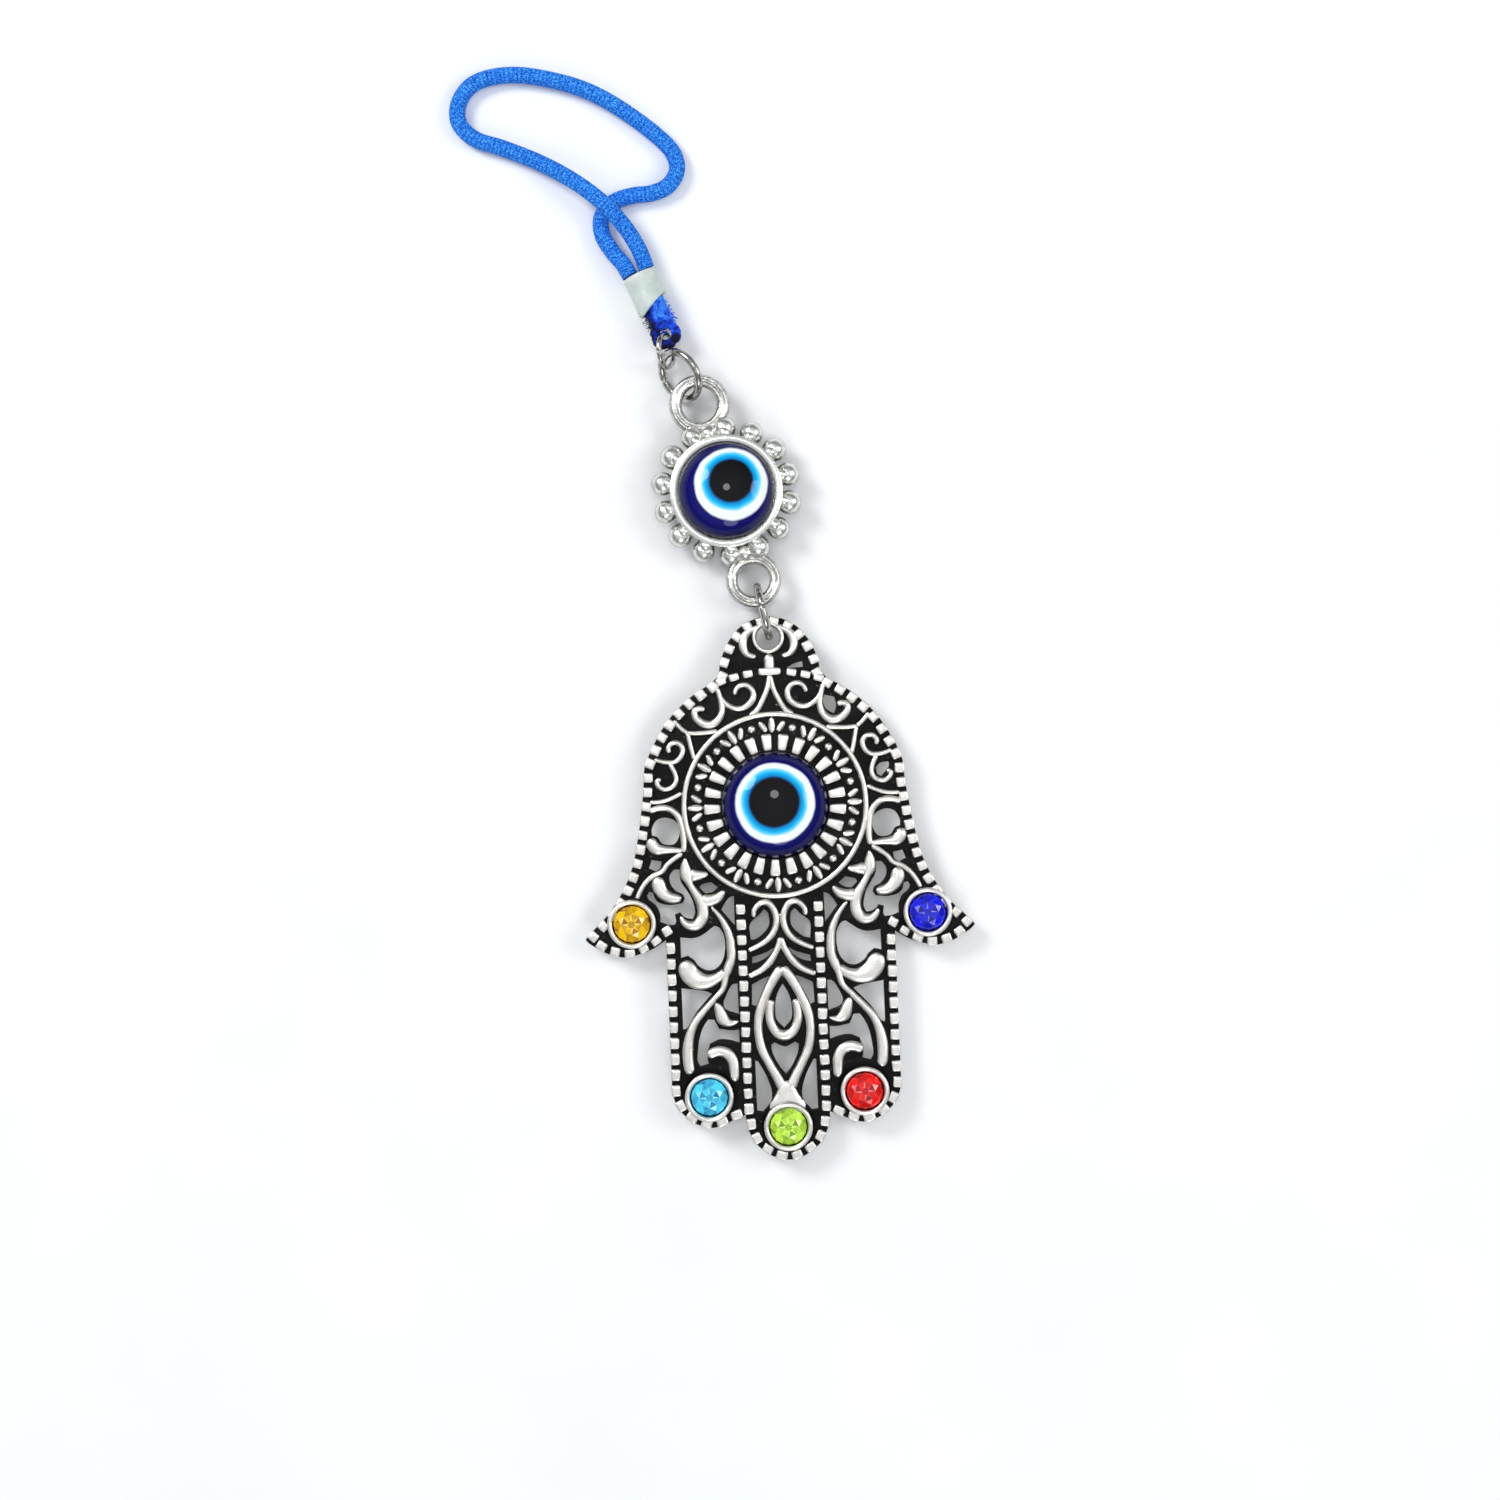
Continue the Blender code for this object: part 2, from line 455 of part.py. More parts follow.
def build():
    clear_scene()
    antique = material("antique_silver", (0.62, 0.60, 0.56), 0.35, 1.0)
    bright = material("bright_silver", (0.86, 0.86, 0.84), 0.22, 1.0)
    steel = material("ring_steel", (0.72, 0.72, 0.72), 0.18, 1.0)
    glass = material("navy_glass", (0.01, 0.015, 0.2), 0.05)
    cord_blue = material("cord_blue", (0.02, 0.25, 0.75), 0.7)
    sleeve_clear = material("sleeve_plastic", (0.75, 0.82, 0.78), 0.35)
    end_blue = material("cord_end_blue", (0.01, 0.08, 0.5), 0.85)
    stone_colours = {
        "rhinestone_amber": (0.85, 0.45, 0.01),
        "rhinestone_sapphire": (0.01, 0.02, 0.6),
        "rhinestone_aqua": (0.06, 0.5, 0.75),
        "rhinestone_peridot": (0.45, 0.75, 0.1),
        "rhinestone_red": (0.75, 0.01, 0.01),
    }

    up = Vector((0, 0, 1))
    hamsa = pivot("hamsa_pivot", (0, 0, 0))
    plate = hamsa_plate()
    finish(plate, antique)
    eye = glass_eye("hamsa_eye", (0, 0), HAMSA_EYE_RADIUS, CUP_FLOOR + GAP,
                    HAMSA_EYE_EDGE, HAMSA_EYE_CROWN)
    finish(eye, glass)
    attach(hamsa, plate, eye)
    for name, centre in STONES.items():
        stone = rhinestone(name, centre)
        finish(stone, material(name, stone_colours[name], 0.05), smooth=False)
        attach(hamsa, stone)

    hamsa_crossing = LOWER_RING - LOWER_RING_ALONG * LOWER_RING_RADIUS
    lower_pivot = pivot("lower_ring_pivot", hamsa_crossing, hamsa)
    lower_ring = split_ring("lower_jump_ring", LOWER_RING, LOWER_RING_ALONG, up,
                            LOWER_RING_RADIUS, RING_WIRE, 80, 34)
    finish(lower_ring, steel)
    attach(lower_pivot, lower_ring)

    lower_bar = LOWER_LOOP - CONNECTOR_AXIS * LOWER_LOOP_MAJOR
    connector_pivot = pivot("connector_pivot", lower_bar, lower_pivot)
    frame = connector_frame()
    finish(frame, bright)
    small_eye = glass_eye("connector_eye", CONNECTOR[:2], CONNECTOR_EYE_RADIUS,
                          CONNECTOR_CUP_FLOOR + GAP, CONNECTOR_EYE_EDGE, CONNECTOR_EYE_CROWN)
    finish(small_eye, glass)
    attach(connector_pivot, frame, small_eye)

    upper_bar = UPPER_LOOP + UPPER_RING_ALONG * UPPER_LOOP_MAJOR
    upper_pivot = pivot("upper_ring_pivot", upper_bar, connector_pivot)
    tilt = math.radians(UPPER_RING_TILT)
    level = Vector((UPPER_RING_ALONG.y, -UPPER_RING_ALONG.x, 0))
    upper_ring = split_ring("upper_jump_ring", UPPER_RING, UPPER_RING_ALONG,
                            level * math.cos(tilt) + up * math.sin(tilt),
                            UPPER_RING_RADIUS, RING_WIRE, 285, 34)
    finish(upper_ring, steel)
    attach(upper_pivot, upper_ring)

    end_pivot = pivot("end_ring_pivot", UPPER_RING_END, upper_pivot)
    lean = math.radians(END_RING_LEAN)
    end_ring = split_ring("end_ring", END_RING, Vector((0, 1, 0)),
                          Vector((-math.sin(lean), 0, math.cos(lean))),
                          END_RING_RADIUS, END_RING_WIRE, 100, 26)
    finish(end_ring, steel)
    attach(end_pivot, end_ring)

    cord_pivot = pivot("cord_pivot", (END_RING.x, TONGUE_BORE, END_RING.z), end_pivot)
    end = cord_end()
    finish(end, end_blue)
    sleeve = crimp_sleeve()
    finish(sleeve, sleeve_clear)
    cord = wire("cord", smooth_route(CORD_ROUTE, CORD_POINT_SPACING), CORD_RADIUS)
    finish(cord, cord_blue)
    attach(cord_pivot, end, sleeve, cord)


build()
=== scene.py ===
import math
import random

import bmesh
import bpy
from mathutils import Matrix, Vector, noise


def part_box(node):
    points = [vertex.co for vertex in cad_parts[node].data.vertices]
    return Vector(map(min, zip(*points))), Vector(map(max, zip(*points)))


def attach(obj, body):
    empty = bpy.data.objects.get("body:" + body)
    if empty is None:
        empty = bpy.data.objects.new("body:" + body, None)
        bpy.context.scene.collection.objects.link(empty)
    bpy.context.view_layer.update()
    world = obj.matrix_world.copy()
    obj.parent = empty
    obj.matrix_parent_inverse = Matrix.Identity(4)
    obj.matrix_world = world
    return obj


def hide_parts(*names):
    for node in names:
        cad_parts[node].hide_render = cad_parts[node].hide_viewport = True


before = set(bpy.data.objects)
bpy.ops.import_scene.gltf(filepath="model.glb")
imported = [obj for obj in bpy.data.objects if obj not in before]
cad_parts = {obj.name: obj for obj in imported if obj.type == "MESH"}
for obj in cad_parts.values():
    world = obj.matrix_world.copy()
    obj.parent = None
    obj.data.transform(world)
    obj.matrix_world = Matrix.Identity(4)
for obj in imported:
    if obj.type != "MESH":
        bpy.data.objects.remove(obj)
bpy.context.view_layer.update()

MM = 0.001
UP = Vector((0, 0, 1))


def middle(node):
    """The middle of a CAD node's box, in the frame's metres."""
    low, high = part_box(node)
    return (Vector(low) + Vector(high)) / 2


EYE = middle("hamsa_eye")


def place(point):
    """A plan point with its height, in millimetres, as a place in the frame."""
    return Vector((EYE.x, EYE.y, 0)) + Vector(point) * MM


def plan(node):
    """The middle of a CAD node in plan millimetres."""
    return (middle(node) - Vector((EYE.x, EYE.y, 0))) / MM


# Heights of the hamsa's layers: the CAD plate runs from 1.8 to 3.4.
PLATE_BACK, RECESS, STROKE_FOOT, STROKE_TOP, TICK_TOP, MEDALLION_TOP = 1.8, 2.6, 2.3, 3.2, 3.15, 3.4
BEZEL_TOP = 3.9
EYE_RADIUS, EYE_SEAT, EYE_CUP = 6.04, 6.1, 6.8
EYE_FOOT, EYE_EDGE, EYE_CROWN = 1.2, 3.3, 6.3  # heights of the large eye's foot, edge and crown
EYE_RINGS = (EYE_RADIUS, 4.55, 3.72, 2.8)  # outer radii of its navy, white, light blue and dark glass
EYE_WHITE_SHIFT, EYE_PUPIL_SHIFT = (0, 0.25), (-0.1, 0.38)
STONE_SEAT, STONE_BEZEL = 2.22, 2.8
LINE_SWELL = 1.27  # how much wider a raised line is cast than the width it is given below
STONES = ["amber", "sapphire", "aqua", "peridot", "red"]

# The right half of the hamsa's outline, from its top round to the tip of the middle finger.
HALF_OUTLINE = [
    (0, 21.65), (1.6, 21.35), (3.2, 20.5), (4.4, 19.15), (5.15, 17.8), (5.65, 16.5), (5.85, 15.2),
    (6.7, 14.3), (8.0, 13.5), (9.35, 12.6), (10.7, 11.4), (11.85, 10.2), (12.9, 8.7), (13.7, 7.3),
    (14.4, 5.9), (14.85, 4.5), (15.05, 2.0), (15.35, 0), (15.65, -2), (16.05, -4), (16.5, -6),
    (17.25, -8), (18.35, -10), (19.85, -12), (21.9, -14), (22.35, -14.6), (21.8, -15.15),
    (20.1, -16.2), (18.6, -16.7), (17.6, -16.8), (16.4, -16.55), (15.0, -16.1), (13.9, -15.5),
    (13.15, -15.0), (13.15, -24.0), (13.15, -29.0), (13.15, -31.2), (13.15, -32.6), (12.65, -34.1),
    (12.05, -35.0), (11.15, -35.85), (10.15, -36.4), (8.8, -36.75), (7.45, -36.5), (6.35, -36.0),
    (5.35, -35.6), (4.85, -35.4), (4.75, -36.4), (4.4, -37.6), (3.65, -38.9), (2.5, -39.9),
    (1.35, -40.5), (0, -40.75),
]
THUMB_TIP, FINGER_TOP, FINGER_VALLEY = 25, 33, 46  # places in HALF_OUTLINE

# Openings right through the plate, on both sides of its axis.
PAIRED_OPENINGS = [
    # under the arch beside the medallion, and between its foot and the rim
    [(11.4, -1.5), (12.05, -1.1), (12.9, -0.95), (13.75, -1.3), (14.25, -2.2), (14.25, -2.95),
     (13.65, -3.15), (13.2, -3.85), (12.5, -4.1), (11.7, -4.0), (11.2, -3.3), (11.0, -2.3)],
    [(13.3, -5.95), (14.4, -5.75), (14.75, -6.7), (14.0, -7.05), (13.45, -6.7)],
    # round the leaf between the medallion and the thumb's stone
    [(11.25, -6.95), (11.9, -6.95), (12.4, -7.6), (12.4, -8.5), (11.8, -9.4), (11.0, -9.85),
     (10.8, -10.4), (11.1, -10.85), (12.4, -11.0), (13.5, -10.8), (14.15, -10.3), (14.4, -9.5),
     (14.85, -9.4), (15.1, -9.8), (14.9, -10.3), (14.1, -11.0), (13.7, -12.0), (13.7, -12.9),
     (12.9, -13.2), (12.1, -13.3), (11.9, -12.9), (12.0, -12.1), (11.4, -11.9), (11.1, -12.3),
     (10.6, -12.6), (10.0, -12.7), (9.7, -12.1), (9.75, -11.2), (10.1, -10.15), (10.7, -9.1),
     (11.2, -8.2)],
    # between the medallion and the stem, and beside the finger's dividing line
    [(6.9, -9.2), (7.7, -8.55), (8.8, -8.8), (9.05, -9.2), (8.4, -9.85), (7.6, -9.7)],
    [(5.15, -10.25), (5.75, -10.45), (6.45, -11.4), (6.65, -11.8), (5.7, -13.0), (5.2, -13.6)],
    # down the outer finger's vine
    [(7.55, -13.6), (8.9, -14.55), (10.0, -14.9), (11.5, -14.75), (11.5, -17.1), (10.7, -16.9),
     (10.0, -17.45), (9.55, -18.1), (8.6, -18.65), (7.55, -18.5), (6.75, -17.6), (6.4, -16.1),
     (6.5, -14.7), (7.0, -13.8)],
    [(5.15, -20.3), (5.85, -20.5), (6.6, -21.8), (6.85, -22.6), (6.5, -23.3), (5.15, -23.8)],
    [(8.1, -21.35), (9.05, -21.0), (11.6, -20.6), (11.6, -25.3), (11.15, -25.2), (10.15, -23.6),
     (9.05, -22.35)],
    [(8.0, -24.35), (8.7, -24.3), (9.25, -25.1), (9.7, -26.2), (9.95, -27.4), (10.1, -28.9),
     (9.8, -29.65), (8.85, -29.4), (8.95, -28.3), (8.6, -27.1), (7.5, -26.65), (6.3, -26.75),
     (5.2, -27.1), (5.2, -25.6), (6.2, -25.65), (7.5, -25.4)],
    # down the middle finger
    [(1.2, -13.3), (1.35, -12.3), (1.8, -11.95), (2.4, -12.6), (3.1, -13.15), (3.5, -13.8),
     (3.4, -15.4), (2.55, -15.15), (1.5, -14.2)],
    [(0.8, -16.35), (1.8, -16.9), (3.3, -17.35), (3.4, -18.1), (2.4, -17.85), (1.3, -17.15)],
    [(1.15, -19.5), (2.3, -19.9), (3.5, -20.5), (3.6, -22.8), (3.15, -23.0), (2.3, -21.4)],
    [(3.2, -29.3), (3.5, -29.3), (3.5, -35.0), (2.8, -35.1), (1.9, -34.0), (1.75, -32.8),
     (2.3, -31.0)],
]
# Openings on the axis, right half only, and those that only the right side has.
AXIS_OPENINGS = [
    [(0, -20.5), (0.7, -21.8), (0.95, -23.2), (0.85, -24.6), (0, -25.6)],
    [(0, -27.75), (1.2, -27.25), (1.6, -27.5), (1.4, -28.6), (0.7, -30.0), (0, -30.9)],
]
RIGHT_OPENINGS = [
    [(6.2, 12.4), (7.3, 12.1), (7.5, 11.1), (7.2, 10.2), (6.3, 10.8), (6.0, 11.7)],
    [(1.9, 15.6), (2.8, 16.1), (3.8, 16.35), (3.85, 15.7)],
    [(12.2, 4.3), (13.2, 4.45), (13.25, 3.9), (12.35, 2.8), (11.85, 3.05), (11.75, 3.8)],
]
EYELET, EYELET_RADIUS = (0, 19.2), 1.35

# Raised lines on the right half. The width is one number, a few spread evenly along the line, or
# None where each point carries its own.
PAIRED_STROKES = [
    # the crescent round the eyelet, and the leg from the arched bar to the medallion
    ((0.35, 0.9, 0.4), [(1.0, 20.5), (2.05, 20.05), (2.75, 19.3), (2.9, 18.3), (2.5, 17.4), (1.5, 17.0)]),
    (0.5, [(0, 14.9), (0.35, 13.4), (0.85, 12.2), (1.55, 11.0), (2.5, 10.25)]),
    # spirals between the rim and the medallion, from the top down
    ((0.4, 0.6, 0.4), [(6.1, 13.7), (5.8, 12.7), (5.2, 11.85), (4.2, 11.25), (3.1, 11.3), (2.2, 12.0),
                       (1.95, 12.9), (2.4, 13.65), (3.1, 13.9), (3.8, 13.55), (4.15, 12.8)]),
    ((0.45, 0.8, 0.45), [(6.1, 13.7), (5.75, 12.4), (5.6, 11.2), (5.95, 10.2), (6.8, 9.55),
                         (7.8, 9.65), (8.65, 10.35), (8.75, 11.1), (8.1, 11.4), (7.6, 11.2)]),
    (0.42, [(11.2, 10.1), (10.4, 9.2), (9.7, 8.65)]),
    (0.42, [(9.7, 8.65), (8.6, 8.55), (7.4, 8.6), (6.2, 8.7)]),
    (0.42, [(9.7, 8.65), (9.45, 7.5), (9.25, 6.5), (9.0, 5.5)]),
    ((0.4, 0.5, 0.45), [(13.6, 5.75), (12.4, 5.4), (11.3, 5.4), (10.6, 5.9), (10.3, 6.75),
                        (10.7, 7.45), (11.45, 7.55), (11.95, 7.0), (11.85, 6.45)]),
    (0.45, [(11.85, 5.2), (11.35, 4.2), (11.2, 3.3), (11.6, 2.6), (12.5, 2.3), (13.2, 2.65),
            (13.4, 3.2), (12.95, 3.55)]),
    (0.38, [(10.6, 1.8), (11.75, 1.25), (13.0, 0.92), (14.3, 0.88)]),
    # the arch beside the medallion with the comma at its foot
    (0.58, [(14.45, -0.15), (13.4, 0.15), (12.3, 0.1), (11.5, -0.4), (11.0, -1.15), (10.75, -2.2),
            (10.6, -3.6), (10.7, -5.0)]),
    (None, [(10.8, -4.75, 0.35), (12, -4.7, 0.6), (13, -4.65, 0.8), (13.8, -4.5, 1.1),
            (14.25, -3.9, 1.1), (14.05, -3.25, 0.9)]),
    # the branch to the thumb's stone, with its leaf
    (0.45, [(10.85, -5.1), (11.75, -5.65), (12.6, -6.3), (13.2, -7.05), (14.25, -7.5),
            (15.15, -8.25), (15.85, -9.25), (16.3, -10.2)]),
    (None, [(13.6, -7.7, 1.05), (13.7, -8.7, 1.3), (13.3, -9.55, 1.2), (12.5, -10.1, 1.0),
            (11.7, -10.25, 0.8), (11.15, -10.2, 0.5)]),
    # the stem that leaves the medallion, with its two thorns
    (None, [(10.55, -5.7, 0.3), (10.6, -6.6, 0.9), (10.5, -7.6, 1.1), (10.15, -8.6, 0.65),
            (9.6, -9.6, 0.75), (9.0, -10.6, 0.95), (8.75, -11.6, 1.0), (8.85, -12.6, 1.05),
            (9.55, -13.4, 0.95), (10.45, -13.4, 0.8), (11.1, -12.9, 0.55), (11.3, -12.35, 0.3)]),
    (None, [(10.25, -7.6, 1.4), (9.35, -7.7, 1.0), (8.0, -7.6, 0.4)]),
    (None, [(9.05, -10.5, 1.2), (8.05, -10.65, 1.1), (7.0, -10.35, 0.9), (6.2, -9.6, 0.45)]),
    # the outer finger's vine, with its comma, leaf and hook
    (None, [(7.75, -11.4, 0.25), (6.95, -12.4, 0.45), (6.3, -13.5, 0.6), (5.85, -14.7, 0.7),
            (5.7, -16.1, 0.8), (5.75, -17.4, 0.8), (6.15, -18.5, 0.85), (6.45, -19.3, 0.7),
            (6.85, -20.8, 0.55), (7.85, -21.9, 0.5), (9.0, -23.15, 0.6), (10.15, -24.5, 0.7),
            (10.85, -26, 0.85), (11.15, -27.6, 1.0), (11.15, -29.1, 1.0), (10.95, -30.5, 0.95)]),
    (None, [(6.4, -18.8, 0.8), (7.4, -19.5, 0.9), (8.6, -19.9, 1.3), (9.7, -19.7, 1.65),
            (10.5, -19.1, 1.75), (10.85, -18.3, 1.65), (10.9, -17.4, 1.5)]),
    (None, [(7.65, -22.4, 0.5), (7.35, -23.3, 0.95), (6.95, -24.3, 1.1), (6.15, -24.75, 0.7),
            (5.25, -24.6, 0.2)]),
    (None, [(5.95, -31.5, 0.8), (5.95, -30.3, 0.95), (6.05, -29.2, 1.0), (6.6, -28.3, 1.05),
            (7.45, -27.95, 1.0), (8.3, -28.15, 0.95), (8.85, -28.6, 0.85)]),
    # the middle finger's fronds and its pointed leaf
    (None, [(3.0, -12.75, 0.4), (2.85, -11.9, 0.5), (2.1, -11.15, 0.55), (1.25, -11.2, 0.6),
            (0.65, -11.95, 0.6), (0.4, -13.05, 0.6), (0.65, -14.3, 0.6), (1.4, -15.3, 0.55),
            (2.4, -15.95, 0.5), (3.75, -16.55, 0.45)]),
    (None, [(0, -15.2, 0.5), (0.4, -16.4, 0.6), (1.15, -17.7, 0.65), (2.25, -18.75, 0.6),
            (3.85, -19.55, 0.5)]),
    (None, [(0, -18.6, 0.9), (1.1, -20.1, 0.9), (2, -21.8, 0.85), (2.7, -23.5, 0.85), (3, -25.5, 0.8),
            (2.7, -27.8, 0.85), (1.85, -29.7, 0.8), (1, -31.3, 0.9), (0.4, -32.6, 1.0)]),
    (None, [(1.3, -22.3, 0.6), (1.6, -23.6, 0.75), (1.55, -24.8, 0.8), (1.05, -25.9, 0.85),
            (0.3, -26.4, 0.95), (-0.45, -26.4, 0.9)]),
]
AXIS_STROKES = [
    (0.95, [(0, 17.3), (0, 15.3)]),
    (None, [(0, -31.6, 1.1), (0, -33.0, 2.0), (0, -34.4, 3.2), (0, -36.2, 3.6)]),
    (0.5, [(0, -12.45), (0, -12.75)]),
]

# Rows of tick blocks follow the outline and these lines, and the bar's blocks are at these places on it.
THUMB_ROW = [(21.2, -14.85), (19.9, -15.65), (18.5, -16.15), (17.0, -16.25), (15.6, -15.7),
             (14.1, -14.85), (13.0, -13.95), (12.2, -13.6)]
MIDDLE_ROW = [(4.45, -10.9), (4.45, -20.0), (4.45, -28.0), (4.45, -32.0), (4.45, -34.4), (4.25, -36.3),
              (3.95, -37.4), (3.25, -38.6), (2.2, -39.45), (1.1, -40.05), (0, -40.3)]
BAR_BLOCKS = [-5.6, -4.1, -2.5, 0, 2.5, 4.1, 5.6]

# The medallion round the large eye: how far out its shapes lie, and their sizes.
MEDALLION_RADIUS, MEDALLION_LINE = 10.42, 0.58
WEDGES, WEDGE_REACH, WEDGE_LENGTH, WEDGE_NARROW, WEDGE_WIDE = 25, 7.15, 2.05, 0.86, 1.3
FIRST_WEDGE = -5.7  # degrees from the right
PETAL_TRIOS, PETAL_SPLAY, PETAL_TOP = 12, 4.2, 3.12
DOT_REACH, DOT_RADIUS, DOT_HEIGHT = 9.05, 0.48, 2.75
# How far each petal of a trio leans, in degrees, how far out it lies, its length and its two widths.
PETALS = [(0, 9.15, 1.75, 0.42, 0.66), (6.6, 9.05, 1.4, 0.38, 0.56), (-6.6, 9.05, 1.4, 0.38, 0.56)]

# Links and the cord's end.
LOWER_RING_ALONG = Vector((-0.189, 0.982, 0)).normalized()
UPPER_RING_ALONG = Vector((-0.516, 0.857, 0)).normalized()
UPPER_RING_TILT, END_RING_LEAN = math.radians(52), math.radians(25)
LOWER_RING_RADIUS, UPPER_RING_RADIUS, END_RING_RADIUS = 2.95, 2.85, 1.9
RING_WIRE, END_RING_WIRE = 0.45, 0.3
CONNECTOR = plan("connector_eye")
LINK_HEIGHT = 2.7
CONNECTOR_AXIS = Vector((-0.2547, 0.967, 0))
CONNECTOR_LOOPS = [(10.45, 2.75, 0.72), (-10.6, 2.5, 0.67)]  # reach along the axis, radius, thickness
BEADS_A_SIDE, FIRST_BEAD, BEAD_STEP = 7, 15, 25.4  # degrees from the connector's axis
BEAD_REACH, BEAD_RADIUS, INNER_BEAD_REACH, INNER_BEAD_RADIUS, INNER_BEAD_HEIGHT = 7.3, 1.36, 6.7, 0.78, 3.5
SMALL_EYE_RADIUS, SMALL_EYE_FOOT, SMALL_EYE_EDGE, SMALL_EYE_CROWN = 5.5, 1.7, 4.1, 7.2
SMALL_EYE_RINGS = (SMALL_EYE_RADIUS, 4.15, 3.3, 2.4)
SMALL_WHITE_SHIFT, SMALL_PUPIL_SHIFT = (0.6, 0.55), (0.6, 0.85)
CORD_END_ROUTE = [(-11.75, 58.6, 2.05), (-11.3, 57.3, 2.05), (-10.9, 56.3, 2.15), (-10.6, 55.5, 2.4)]
STUB_RADIUS, STUB_LOOP_RADIUS, STUB_LOOP_THICKNESS = 1.32, 1.2, 0.55
FIBRES, FIBRE_ROOT, FIBRE_RADIUS = 260, 1.28, 0.035
SLEEVE_RADIUS, SLEEVE_BORE = 2.0, 1.6
SLEEVE_FOOT, SLEEVE_HEAD = Vector((-11.2, 57.1, 2.05)), Vector((-13.0, 61.5, 2.05))

CORD_RADIUS = 0.95
CORD_ROUTE = [
    (-12.14, 62.17, 2.05), (-13.1, 64.7, 2.2), (-14.7, 67.3, 2.7), (-16.9, 69.8, 2.95),
    (-20.1, 72.5, 2.3), (-24.0, 75.0, 1.2), (-28.2, 76.9, 0.97), (-31.2, 78.0, 0.97),
    (-33.0, 79.8, 0.97), (-33.1, 82.0, 0.97), (-31.7, 84.1, 0.97), (-29.2, 85.1, 0.97),
    (-25.6, 85.2, 0.97), (-20.8, 84.1, 0.97), (-17.2, 82.6, 0.97), (-13.8, 80.4, 0.97),
    (-10.6, 77.8, 0.97), (-8.7, 75.7, 0.97), (-8.2, 73.6, 0.97), (-9.3, 71.8, 0.97),
    (-11.2, 71.0, 0.97), (-13.5, 70.8, 0.97), (-15.7, 70.1, 0.97), (-17.1, 68.5, 0.97),
    (-17.1, 66.4, 1.1), (-16.0, 64.3, 1.6), (-14.85, 62.8, 1.95), (-14.08, 61.38, 2.05),
]


# ---------------------------------------------------------------- lines and shapes
def smooth(points, spacing, closed=False, sharp=180):
    """Points about spacing apart on a smooth curve through the given ones.

    The curve keeps a corner wherever it would turn by more than sharp degrees.
    """
    knots = [Vector(point) for point in points]
    count = len(knots)

    def corner(index):
        if not closed and not 0 < index < count - 1:
            return True
        before, here, after = knots[index - 1], knots[index % count], knots[(index + 1) % count]
        return math.degrees((here - before).angle(after - here)) > sharp

    line = []
    for index in range(count if closed else count - 1):
        start, end = knots[index], knots[(index + 1) % count]
        before = 2 * start - end if corner(index) else knots[index - 1]
        after = 2 * end - start if corner(index + 1) else knots[(index + 2) % count]
        steps = max(1, math.ceil((end - start).length / spacing))
        for step in range(steps):
            t = step / steps
            line.append(0.5 * (2 * start + (end - before) * t
                               + (2 * before - 5 * start + 4 * end - after) * t ** 2
                               + (3 * start - before - 3 * end + after) * t ** 3))
    if not closed:
        line.append(knots[-1])
    return line


def mirrored(points):
    return [(-point[0], *point[1:]) for point in points]


def heading(line, index):
    """The direction of a line at one of its points."""
    return (line[min(index + 1, len(line) - 1)] - line[max(index - 1, 0)]).normalized()


def level_direction(turn):
    """The level direction at a turn in radians from the right."""
    return Vector((math.cos(turn), math.sin(turn), 0))


def distances(line):
    """How far each point of a line is along it."""
    walked = [0.0]
    for a, b in zip(line, line[1:]):
        walked.append(walked[-1] + (b - a).length)
    return walked


def point_at(line, distance):
    """The point of a line at a distance along it, and the line's direction there."""
    walked = distances(line)
    for a, b, start, end in zip(line, line[1:], walked, walked[1:]):
        if distance <= end or b is line[-1]:
            return a.lerp(b, (distance - start) / (end - start)), (b - a).normalized()


def circle_turns(count, shift=0.0):
    """Equal turns round a circle in radians, the first a share of a step on from the right."""
    return [2 * math.pi * (step + shift) / count for step in range(count)]


def circle(centre, radius, count=48):
    return [(centre[0] + radius * math.cos(turn), centre[1] + radius * math.sin(turn))
            for turn in circle_turns(count)]


def skin(bm, rings, closed=False):
    """Faces between rings of points, with both ends capped unless the rings close on themselves."""
    rows = [[bm.verts.new(point) for point in ring] for ring in rings]
    sides = len(rows[0])
    pairs = list(zip(rows, rows[1:]))
    if closed:
        pairs.append((rows[-1], rows[0]))
    for row, following in pairs:
        for side in range(sides):
            after = (side + 1) % sides
            bm.faces.new((row[side], row[after], following[after], following[side]))
    if not closed:
        bm.faces.new(rows[0])
        bm.faces.new(reversed(rows[-1]))


def turned(bm, centre, profile, segments=48):
    """A solid turned about a vertical line from (radius, height) pairs: a ring, or closed on the line."""
    x, y = centre[:2]
    rows = []
    for radius, height in profile:
        ring = [(x, y)] if radius == 0 else circle(centre, radius, segments)
        rows.append([bm.verts.new((px, py, height)) for px, py in ring])
    pairs = list(zip(rows, rows[1:]))
    if profile[0][0] > 0:
        pairs.append((rows[-1], rows[0]))
    for row, following in pairs:
        for step in range(segments):
            corners = [row[step % len(row)], row[(step + 1) % len(row)],
                       following[(step + 1) % len(following)], following[step % len(following)]]
            unique = list(dict.fromkeys(corners))
            if len(unique) > 2:
                bm.faces.new(unique)


def ball(bm, centre, radius, segments=20, squash=1.0):
    steps = segments // 2
    turns = [math.pi * step / steps for step in range(1, steps)]
    half_height = radius * squash
    rounds = [(radius * math.sin(turn), centre[2] + half_height * math.cos(turn)) for turn in turns]
    turned(bm, centre, [(0, centre[2] + half_height), *rounds, (0, centre[2] - half_height)], segments)


def half_round(radius, half, rise, top):
    """The (radius, height) pairs over a round crown, from its outer side to its inner one."""
    return [(radius + half * math.cos(turn), top - rise + rise * math.sin(turn))
            for turn in (math.pi * step / 8 for step in range(9))]


